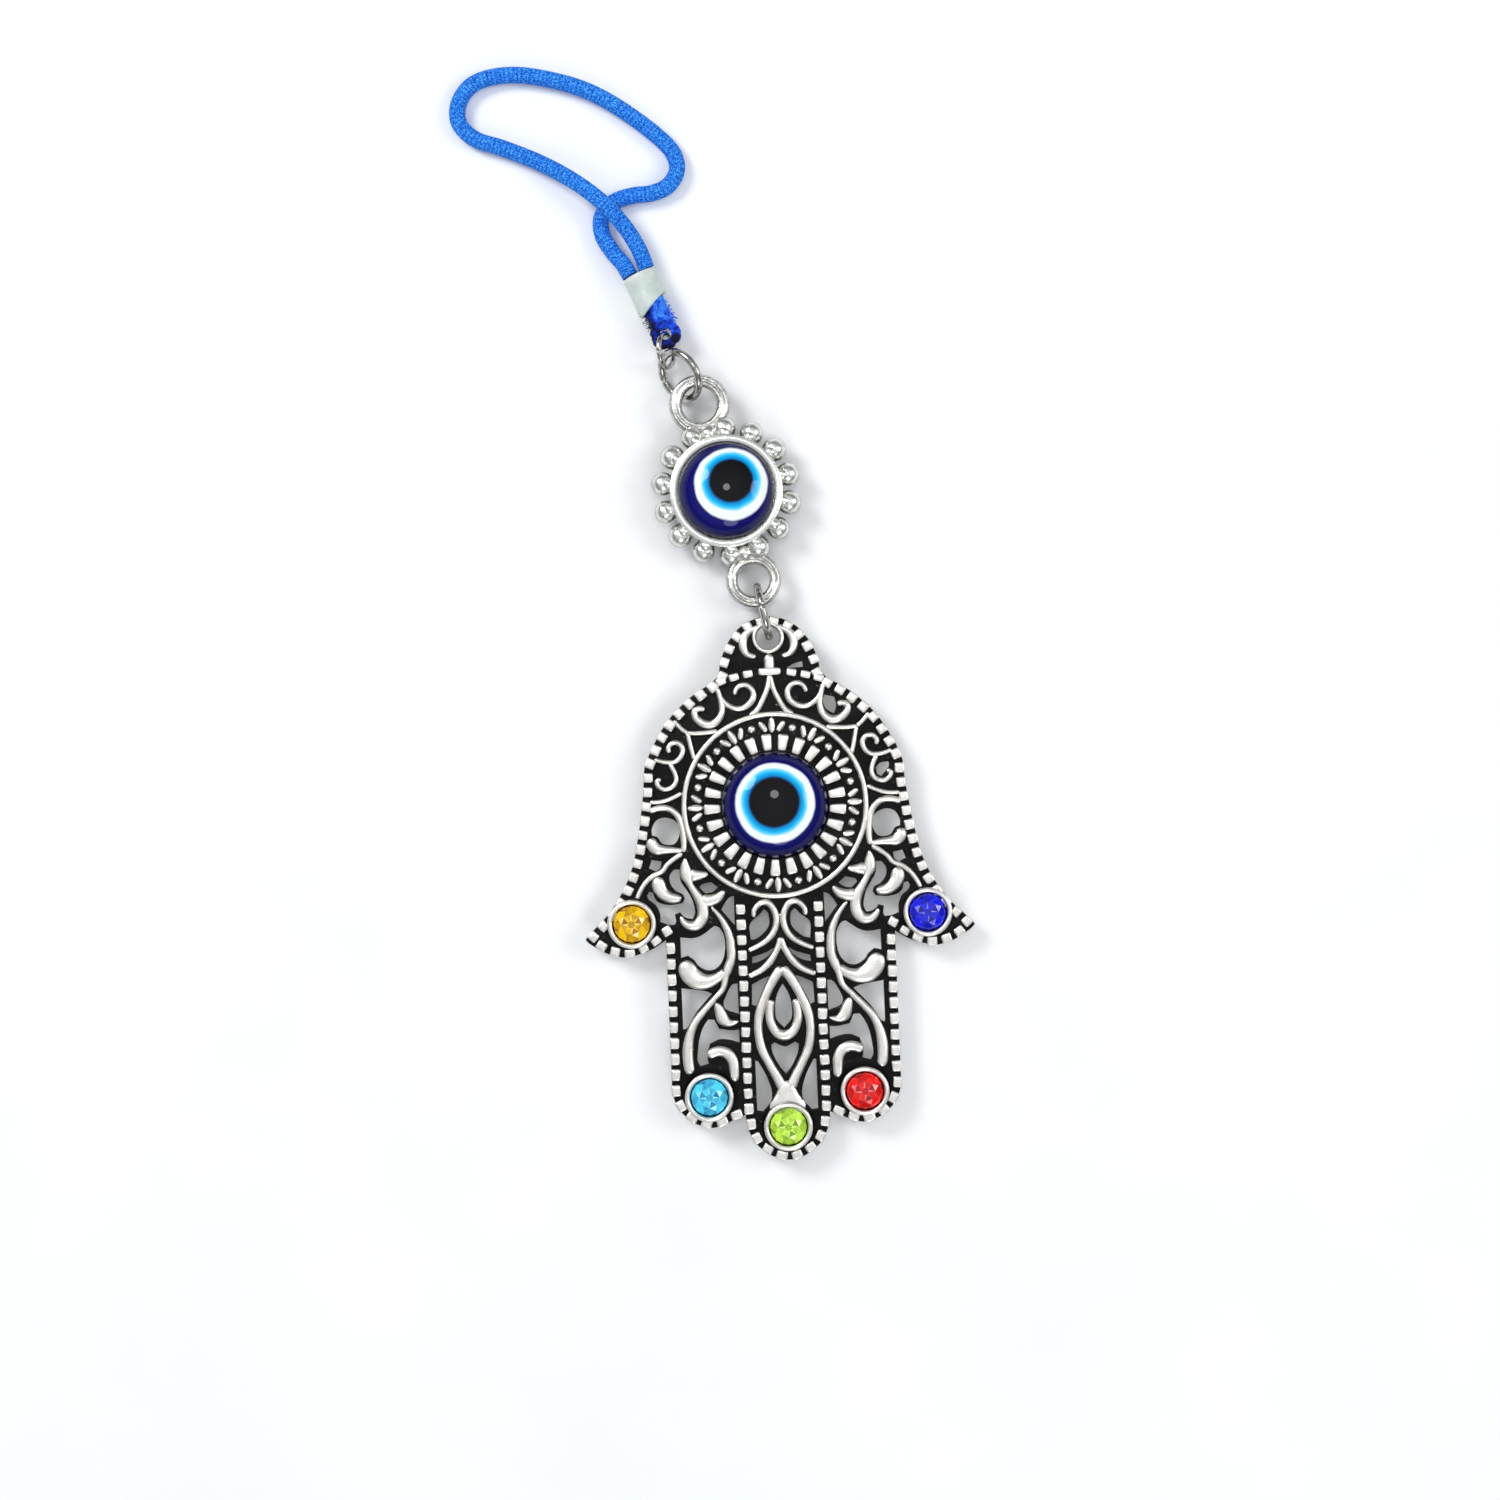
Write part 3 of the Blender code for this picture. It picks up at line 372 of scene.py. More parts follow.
def rounded_ring(bm, centre, radius, width, foot, top, segments=96):
    """A raised ring line with a round crown."""
    half = width / 2
    crown = half_round(radius, half, half * 0.7, top)
    turned(bm, centre, [(radius + half, foot), *crown, (radius - half, foot)], segments)


def across(line):
    """At each point of a line in space, two directions across it that turn as little as possible."""
    side = None
    frames = []
    for index in range(len(line)):
        along = heading(line, index)
        side = along.orthogonal() if side is None else side - along * side.dot(along)
        side.normalize()
        frames.append((side.copy(), along.cross(side)))
    return frames


def tube(bm, line, radius, sides=20, closed=False):
    """A tube along a line in space. Its radius is a number or a function of distance and turn."""
    walked = distances(line)
    rings = []
    for point, distance, (side, upward) in zip(line, walked, across(line)):
        ring = []
        for turn in circle_turns(sides):
            reach = radius(distance, turn) if callable(radius) else radius
            ring.append(point + (side * math.cos(turn) + upward * math.sin(turn)) * reach)
        rings.append(ring)
    skin(bm, rings, closed)


def arc(centre, first, second, radius, start, stop, count):
    """Points on an arc about centre in the plane of two unit vectors, from start to stop degrees."""
    turns = [math.radians(start + (stop - start) * step / count) for step in range(count + 1)]
    return [centre + (first * math.cos(turn) + second * math.sin(turn)) * radius for turn in turns]


def add_object(name, data):
    """A new object in the scene that shows the data."""
    item = bpy.data.objects.new(name, data)
    bpy.context.scene.collection.objects.link(item)
    return item


def final_shape(item):
    """What a curve or a mesh with a modifier comes to. The object itself is removed."""
    bpy.context.view_layer.update()
    bm = bmesh.new()
    bm.from_mesh(item.evaluated_get(bpy.context.evaluated_depsgraph_get()).to_mesh())
    bpy.data.objects.remove(item, do_unlink=True)
    return bm


def make_piece(name, bm, body, material, nodes=(), sharp=40):
    """A finished piece from a shape in plan millimetres: placed, shaded, riding on its body."""
    for vert in bm.verts:
        vert.co = place(vert.co)
    bmesh.ops.recalc_face_normals(bm, faces=bm.faces)
    mesh = bpy.data.meshes.new(name)
    bm.to_mesh(mesh)
    bm.free()
    mesh.materials.append(material)
    mesh.shade_smooth()
    mesh.set_sharp_from_angle(angle=math.radians(sharp))
    piece = add_object(name, mesh)
    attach(piece, body)
    if nodes:
        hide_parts(*nodes)
    return piece


# ---------------------------------------------------------------- materials
def rgb(red, green, blue):
    """An sRGB colour, 0 to 255, as the linear colour that a shader takes."""
    return tuple(((value / 255 + 0.055) / 1.055) ** 2.4 if value > 10 else value / 255 / 12.92
                 for value in (red, green, blue)) + (1,)


def set_stops(node, stops):
    """Gives a colour ramp its (position, colour) stops."""
    elements = node.color_ramp.elements
    while len(elements) < len(stops):
        elements.new(1.0)
    for element, (position, colour) in zip(elements, stops):
        element.position = position
        element.color = colour


class Shader:
    """A Principled material with short calls for the nodes that feed it."""

    def __init__(self, name, **values):
        self.material = bpy.data.materials.new(name)
        self.material.use_nodes = True
        self.tree = self.material.node_tree
        self.surface = self.tree.nodes["Principled BSDF"]
        for socket, value in values.items():
            self.surface.inputs[socket.replace("_", " ")].default_value = value
        self.place = self.node("TexCoord").outputs["Object"]

    def node(self, kind, **settings):
        made = self.tree.nodes.new("ShaderNode" + kind)
        for setting, value in settings.items():
            setattr(made, setting, value)
        return made

    def link(self, source, target):
        self.tree.links.new(source, target)

    def feed(self, source, socket):
        self.link(source, self.surface.inputs[socket])

    def noise(self, feature, detail=4.0, roughness=0.6):
        """Noise whose blobs are about feature millimetres across."""
        made = self.node("TexNoise")
        made.inputs["Scale"].default_value = 1 / (feature * MM)
        made.inputs["Detail"].default_value = detail
        made.inputs["Roughness"].default_value = roughness
        self.link(self.place, made.inputs["Vector"])
        return made.outputs["Fac"]

    def cloud(self, feature, low, high, detail=4.0, roughness=0.6):
        """Noise that runs from about low to about high."""
        return self.spread(self.noise(feature, detail, roughness), 0.3, 0.7, low, high)

    def math(self, operation, *values):
        made = self.node("Math", operation=operation)
        for socket, value in zip(made.inputs, values):
            if isinstance(value, (int, float)):
                socket.default_value = value
            else:
                self.link(value, socket)
        return made.outputs[0]

    def spread(self, source, low, high, to_low=0.0, to_high=1.0):
        """source taken from low..high to to_low..to_high."""
        made = self.node("MapRange")
        for socket, value in zip(("From Min", "From Max", "To Min", "To Max"), (low, high, to_low, to_high)):
            made.inputs[socket].default_value = value
        self.link(source, made.inputs["Value"])
        return made.outputs["Result"]

    def ramp(self, source, stops):
        """A colour for each value of source, from (position, colour) stops."""
        made = self.node("ValToRGB")
        set_stops(made, stops)
        self.link(source, made.inputs["Fac"])
        return made.outputs["Color"]

    def along(self, axis):
        """How far each point is along an axis of the frame."""
        split = self.node("SeparateXYZ")
        self.link(self.place, split.inputs[0])
        return split.outputs[axis]

    def bump(self, source, depth, strength=0.6):
        """A bump of depth millimetres."""
        made = self.node("Bump")
        made.inputs["Strength"].default_value = strength
        made.inputs["Distance"].default_value = depth * MM
        self.link(source, made.inputs["Height"])
        self.feed(made.outputs["Normal"], "Normal")


def antique_silver(name, black_below, silver_above, back=False):
    """Cast silver-coloured alloy, black in its recesses and rubbed bright on its crowns."""
    shader = Shader(name, Specular_IOR_Level=0.12)
    worn = shader.cloud(0.5, -0.1 * MM, 0.1 * MM, 5)
    level = shader.math("ADD", shader.along("Z"), worn)
    rubbed = shader.spread(level, black_below * MM, silver_above * MM)
    if back:
        plate_back, inside = (PLATE_BACK + 0.12) * MM, (PLATE_BACK + 0.35) * MM
        behind = shader.spread(shader.along("Z"), plate_back, inside, 1, 0)
        rubbed = shader.math("MAXIMUM", rubbed, behind)
    flecks = shader.spread(shader.noise(0.4, 2), 0.64, 0.74, 0, 0.42)
    rubbed = shader.math("MAXIMUM", rubbed, flecks)
    mottled = shader.math("MULTIPLY", rubbed, shader.spread(shader.noise(0.9, 6), 0.25, 0.6, 0.86, 1.0))
    shader.feed(shader.ramp(mottled, [(0.0, rgb(9, 8, 9)), (0.3, rgb(40, 37, 36)),
                                      (0.65, rgb(184, 180, 172)), (1.0, rgb(238, 235, 229))]), "Base Color")
    shader.feed(shader.spread(mottled, 0, 1, 0.34, 0.32), "Roughness")
    shader.feed(shader.spread(mottled, 0.05, 0.5, 0.0, 1.0), "Metallic")
    shader.bump(shader.noise(0.2, 3), 0.035, 0.6)
    return shader.material


def bright_silver(name, grain, dark_below, bright_above):
    """Bright cast metal with a sandy grain, bright on top and behind, with painted crevice shade half way
    up.
    """
    shader = Shader(name, Metallic=1.0)
    lift = shader.cloud(0.7, -0.3 * MM, 0.3 * MM)
    # painted crevice shade: darker half way up, among the beads, and bright on top
    above_painted_crevice_shade = shader.spread(shader.math("ADD", shader.along("Z"), lift), dark_below * MM, bright_above * MM)
    behind = shader.spread(shader.along("Z"), 1.0 * MM, dark_below * MM, 1, 0)
    outside = shader.math("MAXIMUM", above_painted_crevice_shade, behind)
    shader.feed(shader.ramp(outside, [(0.0, rgb(52, 49, 44)), (0.5, rgb(150, 148, 140)),
                                      (1.0, rgb(228, 229, 224))]), "Base Color")
    shader.feed(shader.cloud(0.3, 0.15, 0.3), "Roughness")
    shader.bump(shader.noise(0.22, 5, 0.7), grain)
    return shader.material


def polished_wire(name):
    """Drawn wire with faint scratches."""
    shader = Shader(name, Metallic=1.0)
    smudge = shader.noise(0.8, 6)
    shader.feed(shader.ramp(smudge, [(0.3, rgb(122, 119, 114)), (0.65, rgb(204, 203, 199))]), "Base Color")
    shader.feed(shader.cloud(0.25, 0.12, 0.26, 3), "Roughness")
    shader.bump(shader.noise(0.1, 2), 0.008, 0.4)
    return shader.material


def glass_eye_rings(name, node, pupil_shift, white_shift, rings):
    """Layers of coloured glass: rings about the eye's middle, the inner ones shifted to one side."""
    shader = Shader(name, Roughness=0.035, IOR=1.42, Specular_IOR_Level=0.32)
    centre = middle(node)
    wobble = shader.cloud(2.5, -0.06 * MM, 0.06 * MM, 2)

    def distance(shift):
        offset = shader.node("VectorMath", operation="SUBTRACT")
        shader.link(shader.place, offset.inputs[0])
        offset.inputs[1].default_value = (centre.x + shift[0] * MM, centre.y + shift[1] * MM, 0)
        flat = shader.node("VectorMath", operation="MULTIPLY")
        flat.inputs[1].default_value = (1, 1, 0)
        shader.link(offset.outputs[0], flat.inputs[0])
        length = shader.node("VectorMath", operation="LENGTH")
        shader.link(flat.outputs[0], length.inputs[0])
        return shader.math("ADD", length.outputs["Value"], wobble)

    outer_edge, white_edge, blue_edge, pupil_edge = rings
    navy_depth = shader.spread(distance((0, 0)), white_edge * MM, outer_edge * MM)
    navy = shader.ramp(navy_depth, [(0.0, rgb(17, 17, 104)), (0.7, rgb(12, 11, 76)), (1.0, rgb(7, 6, 44))])
    iris = shader.ramp(shader.spread(distance(pupil_shift), pupil_edge * 0.94 * MM, (blue_edge + 0.2) * MM),
                       [(0.0, rgb(2, 2, 6)), (0.12, rgb(2, 34, 66)), (0.28, rgb(0, 126, 196)),
                        (0.6, rgb(14, 182, 240)), (0.82, rgb(110, 214, 248)), (1.0, rgb(240, 248, 251))])
    edge = shader.spread(distance(white_shift), (white_edge - 0.12) * MM, (white_edge + 0.1) * MM)
    mix = shader.node("Mix", data_type="RGBA")
    shader.link(edge, mix.inputs["Factor"])
    shader.link(iris, mix.inputs[6])
    shader.link(navy, mix.inputs[7])
    shader.feed(mix.outputs[2], "Base Color")
    shader.bump(shader.noise(1.8, 1), 0.02, 0.15)
    return shader.material


def stone_material(name, dark, light):
    """Foil-backed glass: each facet is given a painted share of light, from painted shade to a painted
    sparkle.
    """
    shader = Shader(name, Roughness=0.05, IOR=1.55)
    facet = shader.node("Attribute", attribute_name="facet").outputs["Fac"]
    cloudy = shader.cloud(0.5, -0.12, 0.12, 2)
    # the facets' painted light and painted shade, a little cloudy
    painted_facet_light = shader.math("ADD", facet, cloudy)
    middle_tone = tuple(0.6 * a + 0.4 * b for a, b in zip(light, dark))
    pale = tuple(0.25 + 0.75 * a for a in light)
    tones = [(0.0, dark), (0.4, middle_tone), (0.8, light), (1.0, pale)]
    shader.feed(shader.ramp(painted_facet_light, tones), "Base Color")
    shader.bump(shader.noise(0.6, 1), 0.01, 0.2)
    return shader.material


def braid(name, shadow, colour, fleck_and_painted_crest_light, feature):
    """Matte braided yarn with a soft sheen, with painted shade in the braid's troughs and painted light on
    its crests.
    """
    shader = Shader(name, Roughness=0.8, Sheen_Weight=0.12, Sheen_Roughness=0.4, Specular_IOR_Level=0.2)
    shader.surface.inputs["Sheen Tint"].default_value = rgb(90, 170, 255)
    painted_braid_shade = shader.node("Attribute", attribute_name="painted_braid_shade").outputs["Fac"]
    fine = shader.spread(shader.noise(feature, 6, 0.7), 0.35, 0.65, -0.3, 0.75)
    # painted shade in the braid's troughs and painted light on its crests, with random flecks
    tone = shader.math("MULTIPLY_ADD", painted_braid_shade, 0.45, fine)
    shader.feed(shader.ramp(tone, [(0.0, shadow), (0.45, colour), (1.0, fleck_and_painted_crest_light)]), "Base Color")
    shader.bump(shader.noise(feature * 0.6, 3), 0.05, 0.7)
    return shader.material


def bound_end(name):
    """The frayed end: bright blue near the sleeve, navy to black at its foot and down its left side."""
    shader = Shader(name, Roughness=0.85, Sheen_Weight=0.08, Sheen_Roughness=0.5, Specular_IOR_Level=0.2)
    up_the_stub = shader.spread(shader.along("Y"), place((0, 52.4, 0)).y, place((0, 57.2, 0)).y)
    right, left = place((-11.3, 0, 0)).x, place((-12.5, 0, 0)).x
    to_the_left = shader.spread(shader.along("X"), right, left, 0.0, -0.7)
    clumps = shader.cloud(0.9, -0.45, 0.45, 5, 0.7)
    tone = shader.math("ADD", shader.math("ADD", up_the_stub, to_the_left), clumps)
    shader.feed(shader.ramp(tone, [(0.0, rgb(8, 8, 14)), (0.3, rgb(10, 14, 60)), (0.52, rgb(16, 52, 190)),
                                   (0.8, rgb(30, 96, 235)), (1.0, rgb(70, 150, 250))]), "Base Color")
    shader.bump(shader.noise(0.18, 4), 0.09, 0.9)
    return shader.material


def milky_plastic(name):
    """Soft translucent tube, cloudy in streaks."""
    shader = Shader(name, Roughness=0.3, Transmission_Weight=0.28, IOR=1.4, Subsurface_Weight=0.25)
    shader.surface.inputs["Subsurface Radius"].default_value = (0.001, 0.0011, 0.001)
    streak = shader.noise(1.4, 3)
    shader.feed(shader.ramp(streak, [(0.3, rgb(206, 222, 214)), (0.7, rgb(236, 243, 240))]), "Base Color")
    shader.bump(shader.noise(0.8, 2), 0.04, 0.4)
    return shader.material


def floor_material():
    shader = Shader("pale_floor", Roughness=0.75)
    shader.feed(shader.ramp(shader.noise(40, 3), [(0.3, rgb(240, 242, 243)), (0.7, rgb(246, 247, 248))]),
                "Base Color")
    return shader.material


# ---------------------------------------------------------------- the hamsa
def flat_plate(loops, bottom, top, edge):
    """A flat plate of the first plan loop with the others cut out, its edges rounded."""
    curve = bpy.data.curves.new("plan", "CURVE")
    curve.dimensions = "2D"
    curve.fill_mode = "BOTH"
    curve.extrude = ((top - bottom) / 2 - edge) * MM
    curve.bevel_depth = edge * MM
    curve.bevel_resolution = 1
    curve.offset = -edge * MM
    for loop in loops:
        spline = curve.splines.new("POLY")
        spline.points.add(len(loop) - 1)
        for point, (x, y) in zip(spline.points, loop):
            point.co = (x * MM, y * MM, 0, 1)
        spline.use_cyclic_u = True
    bm = final_shape(add_object("plan", curve))
    bmesh.ops.remove_doubles(bm, verts=bm.verts, dist=2e-6)
    bmesh.ops.scale(bm, verts=bm.verts, vec=(1 / MM, 1 / MM, 1 / MM))
    bmesh.ops.translate(bm, verts=bm.verts, vec=(0, 0, (top + bottom) / 2))
    return bm


def pierced_plate():
    """The plate's floor: the outline with every opening and seat cut out, and the eye's cup behind."""
    def loop(points):
        return [tuple(point) for point in smooth(points, 0.35, closed=True, sharp=48)]

    outline = HALF_OUTLINE + mirrored(HALF_OUTLINE[-2:0:-1])
    loops = [loop(outline), circle(EYELET, EYELET_RADIUS, 40), circle((0, 0), EYE_SEAT + 0.3, 96)]
    loops += [circle(plan("rhinestone_" + stone), STONE_SEAT + 0.3) for stone in STONES]
    for opening in PAIRED_OPENINGS:
        loops += [loop(opening), loop(mirrored(opening))]
    loops += [loop(half + mirrored(half[-2:0:-1])) for half in AXIS_OPENINGS]
    loops += [loop(opening) for opening in RIGHT_OPENINGS]
    bm = flat_plate(loops, PLATE_BACK, RECESS, 0.12)
    turned(bm, (0, 0), [(0, 0), (EYE_CUP - 0.4, 0), (EYE_CUP, 0.4), (EYE_CUP, PLATE_BACK + 0.3),
                        (EYE_CUP - 0.2, RECESS + 0.05), (EYE_SEAT + 0.1, RECESS + 0.05),
                        (EYE_SEAT, RECESS - 0.1), (EYE_SEAT, 0.9), (0, 0.9)], 96)
    return bm


def spread_widths(width, points):
    """Points as (x, y, width), from one width or a few spread evenly along them."""
    if width is None:
        return points
    widths = width if isinstance(width, tuple) else (width, width)
    spread = []
    for index, (x, y) in enumerate(points):
        place_in = index / (len(points) - 1) * (len(widths) - 1)
        low = min(int(place_in), len(widths) - 2)
        spread.append((x, y, widths[low] + (widths[low + 1] - widths[low]) * (place_in - low)))
    return spread


def stroke(bm, width, points, top=STROKE_TOP, foot=STROKE_FOOT):
    """A raised line with a round crown and round ends."""
    line = smooth(spread_widths(width, points), 0.12)
    flat = [Vector((x, y, 0)) for x, y, _ in line]
    walked = distances(flat)
    levels = (-1.0, -0.86, -0.55, 0.0, 0.55, 0.86, 1.0)
    rings = []
    for index, (point, (_, _, wide), distance) in enumerate(zip(flat, line, walked)):
        along = heading(flat, index)
        side = Vector((-along.y, along.x, 0))
        half = wide / 2 * LINE_SWELL
        to_end = min(distance, walked[-1] - distance) + 0.02
        ending = math.sqrt(max(0.0, 1 - (1 - min(1.0, to_end / half)) ** 2))
        crown = min(0.42, half) * (0.35 + 0.65 * ending)
        shoulder = top - min(0.42, half)
        ring = [point + side * half * ending + UP * foot]
        for level in reversed(levels):
            rise = crown * math.sqrt(1 - (0.97 * level) ** 2)
            ring.append(point + side * half * ending * level + UP * (shoulder + rise))
        ring.append(point - side * half * ending + UP * foot)
        rings.append(ring)
    skin(bm, rings)


def block(bm, centre, along, length, wide_start, wide_end, top, foot=STROKE_FOOT):
    """A small raised block with rounded corners and a pillowed top."""
    side = Vector((-along.y, along.x, 0))
    outline = []
    for turn in circle_turns(20, 0.5):
        u = math.copysign(abs(math.cos(turn)) ** 0.33, math.cos(turn))
        v = math.copysign(abs(math.sin(turn)) ** 0.33, math.sin(turn))
        outline.append((u * length / 2, v * (wide_start + (wide_end - wide_start) * (u + 1) / 2) / 2))
    rings = []
    for size, height in ((1, foot), (1, top - 0.16), (0.94, top - 0.05), (0.75, top), (0.3, top)):
        rings.append([centre + along * u * size + side * v * size + UP * height for u, v in outline])
    skin(bm, rings)


def offset_inward(points, amount):
    """The outline's own line moved into the plate, for a row that follows it clockwise."""
    line = smooth([(x, y, 0) for x, y in points], 0.3, sharp=48)
    moved = []
    for index, point in enumerate(line):
        along = heading(line, index)
        moved.append(point + Vector((along.y, -along.x, 0)) * amount)
    return moved


def tick_row(bm, line, pitch, wide, chance):
    """Blocks along a line, each a little uneven, as they are cast."""
    length = distances(line)[-1]
    count = round(length / pitch)
    for index in range(count):
        centre, along = point_at(line, length * (index + 0.5) / count)
        turned_by = chance.uniform(-0.07, 0.07)
        along = Vector((along.x - along.y * turned_by, along.y + along.x * turned_by, 0)).normalized()
        long = length / count - 0.5 + chance.uniform(-0.08, 0.08)
        broad = wide + chance.uniform(-0.06, 0.06)
        centre = Vector((centre.x, centre.y, 0))
        block(bm, centre, along, long, broad, broad + chance.uniform(-0.05, 0.05),
              TICK_TOP + chance.uniform(-0.04, 0.04))


def filigree():
    """Every raised line of the plate outside the medallion."""
    bm = bmesh.new()
    for width, points in PAIRED_STROKES:
        stroke(bm, width, points)
        stroke(bm, width, mirrored(points))
    for width, points in AXIS_STROKES:
        stroke(bm, width, points)
    rounded_ring(bm, EYELET, EYELET_RADIUS + 0.25, 0.45, PLATE_BACK + 0.1, STROKE_TOP, 48)
    return bm


def borders():
    """The tick blocks round the rim, down the fingers' dividing lines and along the arched bar."""
    bm = bmesh.new()
    chance = random.Random(7)
    rim = offset_inward(HALF_OUTLINE[:THUMB_TIP + 1], 0.52)
    finger = offset_inward(HALF_OUTLINE[FINGER_TOP:FINGER_VALLEY + 1], 0.5)
    thumb = smooth([(x, y, 0) for x, y in THUMB_ROW], 0.3)
    middle_line = smooth([(x, y, 0) for x, y in MIDDLE_ROW], 0.3)
    for line, pitch, wide in ((rim, 1.68, 1.1), (thumb, 1.7, 1.05), (finger, 1.8, 1.08),
                              (middle_line, 1.8, 1.08)):
        tick_row(bm, line, pitch, wide, chance)
        tick_row(bm, [Vector((-point.x, point.y, 0)) for point in line], pitch, wide, chance)
    for x in BAR_BLOCKS:
        long = 2.6 if x == 0 else 1.15
        block(bm, Vector((x, 15.3 - 0.03 * x * x, 0)), Vector((1, -0.06 * x, 0)).normalized(), long,
              0.85, 0.85, TICK_TOP + 0.05)
    return bm


def medallion():
    """The ring line round the eye, the wedges inside it and the petals and dots between."""
    bm = bmesh.new()
    rounded_ring(bm, (0, 0), MEDALLION_RADIUS, MEDALLION_LINE, STROKE_FOOT, MEDALLION_TOP, 128)
    chance = random.Random(3)
    for step in range(WEDGES):
        turn = math.radians(FIRST_WEDGE + 360 / WEDGES * step)
        outward = level_direction(turn)
        block(bm, outward * WEDGE_REACH, outward, WEDGE_LENGTH, WEDGE_NARROW + chance.uniform(-0.05, 0.05),
              WEDGE_WIDE + chance.uniform(-0.06, 0.06), STROKE_TOP)
    trio_step = 360 / PETAL_TRIOS
    for step in range(PETAL_TRIOS):
        dot = math.radians(trio_step / 2 + trio_step * step)
        ball(bm, (DOT_REACH * math.cos(dot), DOT_REACH * math.sin(dot), DOT_HEIGHT), DOT_RADIUS, 16, 0.8)
        for lean, reach, long, narrow, wide in PETALS:
            turn = math.radians(trio_step * step + lean)
            centre = level_direction(turn) * reach
            way = math.radians(trio_step * step + lean + lean * PETAL_SPLAY)
            half = level_direction(way) * long / 2
            ends = [centre - half, centre, centre + half]
            stroke(bm, (narrow, wide, narrow), [(point.x, point.y) for point in ends], PETAL_TOP)
    return bm


def bezel(centre):
    """A stone's cup: a tapered back and a thick rounded rim."""
    bm = bmesh.new()
    rim = half_round((STONE_BEZEL + STONE_SEAT) / 2, (STONE_BEZEL - STONE_SEAT) / 2, 0.25, BEZEL_TOP)
    turned(bm, centre, [(0, 0), (2.1, 0), (2.35, 0.15), (STONE_BEZEL, 1.1), *rim,
                        (STONE_SEAT, 2.75), (0.9, 0.9), (0, 0.9)], 64)
    return bm


def brilliant(centre):
    """A round stone cut with a table, crown facets, a girdle and a pointed back."""
    x, y = centre[:2]
    bm = bmesh.new()
    layer = bm.faces.layers.float.new("facet")

    def ring(count, radius, height, turn=0.0):
        angles = [math.radians(360 * step / count + turn) for step in range(count)]
        return [bm.verts.new((x + radius * math.cos(a), y + radius * math.sin(a), height)) for a in angles]

    # each facet's number is its painted share of light, from painted shade to a painted sparkle
    def facet(corners, painted_facet_light):
        bm.faces.new(corners)[layer] = painted_facet_light

    table = 4.15
    heart, star = ring(16, 0.42, table), ring(8, 1.18, table)
    crown, girdle, low = ring(8, 1.66, 3.9, 22.5), ring(16, 2.1, 3.55), ring(16, 2.1, 3.35)
    top, point = bm.verts.new((x, y, table)), bm.verts.new((x, y, 1.25))
    for step in range(16):
        after = (step + 1) % 16
        facet((heart[step], heart[after], top), 0.05 + 0.5 * (step % 2))
        facet((girdle[step], low[step], low[after], girdle[after]), 0.3)
        facet((low[step], point, low[after]), 0.2)
    for step in range(8):
        after, odd = (step + 1) % 8, 2 * step + 1
        facet((star[step], heart[odd - 1], heart[odd]), 1.0 - 0.3 * (step % 2))
        facet((star[step], heart[odd], star[after]), 0.12 + 0.2 * (step % 3))
        facet((star[after], heart[odd], heart[(odd + 1) % 16]), 0.7)
        facet((star[step], crown[step], star[after]), 0.95 - 0.35 * (step % 3))
        facet((star[step], crown[step - 1], girdle[2 * step], crown[step]), 0.35 + 0.4 * (step % 2))
        facet((crown[step], girdle[2 * step], girdle[odd]), 0.15 + 0.5 * (step % 2))
        facet((crown[step], girdle[odd], girdle[(odd + 1) % 16]), 0.6 - 0.4 * (step % 3) / 2)
    return bm


def cabochon(centre, radius, foot, edge, crown):
    """A domed glass eye with a narrow chamfer at its foot."""
    bm = bmesh.new()
    dome = [(radius * math.cos(turn), edge + (crown - edge) * math.sin(turn))
            for turn in (math.pi / 2 * step / 28 for step in range(28))]
    turned(bm, centre, [(0, foot), (radius - 0.2, foot), (radius, foot + 0.2), *dome, (0, crown)], 128)
    return bm


# ---------------------------------------------------------------- the connector
def grooved_loop(bm, centre, major, minor):
    """A fat loop whose upper and lower faces carry a groove between two ridges."""
    section = []
    for turn in circle_turns(32):
        groove = math.exp(-((abs(math.sin(turn)) - 1) / 0.07) ** 2)
        reach = minor * (1 - 0.36 * groove)
        section.append((major + reach * math.cos(turn), LINK_HEIGHT + reach * math.sin(turn)))
    turned(bm, centre, section, 72)


def connector():
    """The second eye's setting: a rough bezel, paired beads round it and a loop at each end."""
    bm = bmesh.new()
    seat, inner, outer, top = 5.8, 5.62, 6.55, 4.4
    turned(bm, CONNECTOR, [(0, 0), (5.6, 0), (6.1, 0.3), (6.35, 1.0), (6.45, 3.2), (outer, 3.75),
                           (outer - 0.12, top - 0.12), (outer - 0.4, top), (inner + 0.3, top),
                           (inner, top - 0.12), (inner, 4.15), (seat, 4.0), (seat, 1.4), (0, 1.4)], 96)
    chance = random.Random(11)
    axis_turn = math.degrees(math.atan2(CONNECTOR_AXIS.y, CONNECTOR_AXIS.x))
    level_middle = Vector((CONNECTOR.x, CONNECTOR.y, LINK_HEIGHT))
    inner_middle = Vector((CONNECTOR.x, CONNECTOR.y, INNER_BEAD_HEIGHT))
    for step in range(BEADS_A_SIDE):
        for side in (1, -1):
            turn = math.radians(axis_turn + side * (FIRST_BEAD + BEAD_STEP * step))
            outward = level_direction(turn)
            size = BEAD_RADIUS + chance.uniform(-0.08, 0.08)
            ball(bm, level_middle + outward * BEAD_REACH, size, 28)
            ball(bm, inner_middle + outward * INNER_BEAD_REACH, INNER_BEAD_RADIUS, 20)
    for reach, major, minor in CONNECTOR_LOOPS:
        centre = level_middle + CONNECTOR_AXIS * reach
        grooved_loop(bm, centre, major, minor)
        inward = -math.copysign(1, reach)
        across_axis = Vector((CONNECTOR_AXIS.y, -CONNECTOR_AXIS.x, 0))
        # a bead at the loop's neck, with a smaller one on each side of it
        neck = centre + CONNECTOR_AXIS * inward * (major + 0.75)
        ball(bm, neck, 1.0, 28)
        for side in (1, -1):
            ball(bm, neck + across_axis * side * 1.15 + UP * 0.35, 0.55, 18)
    return bm


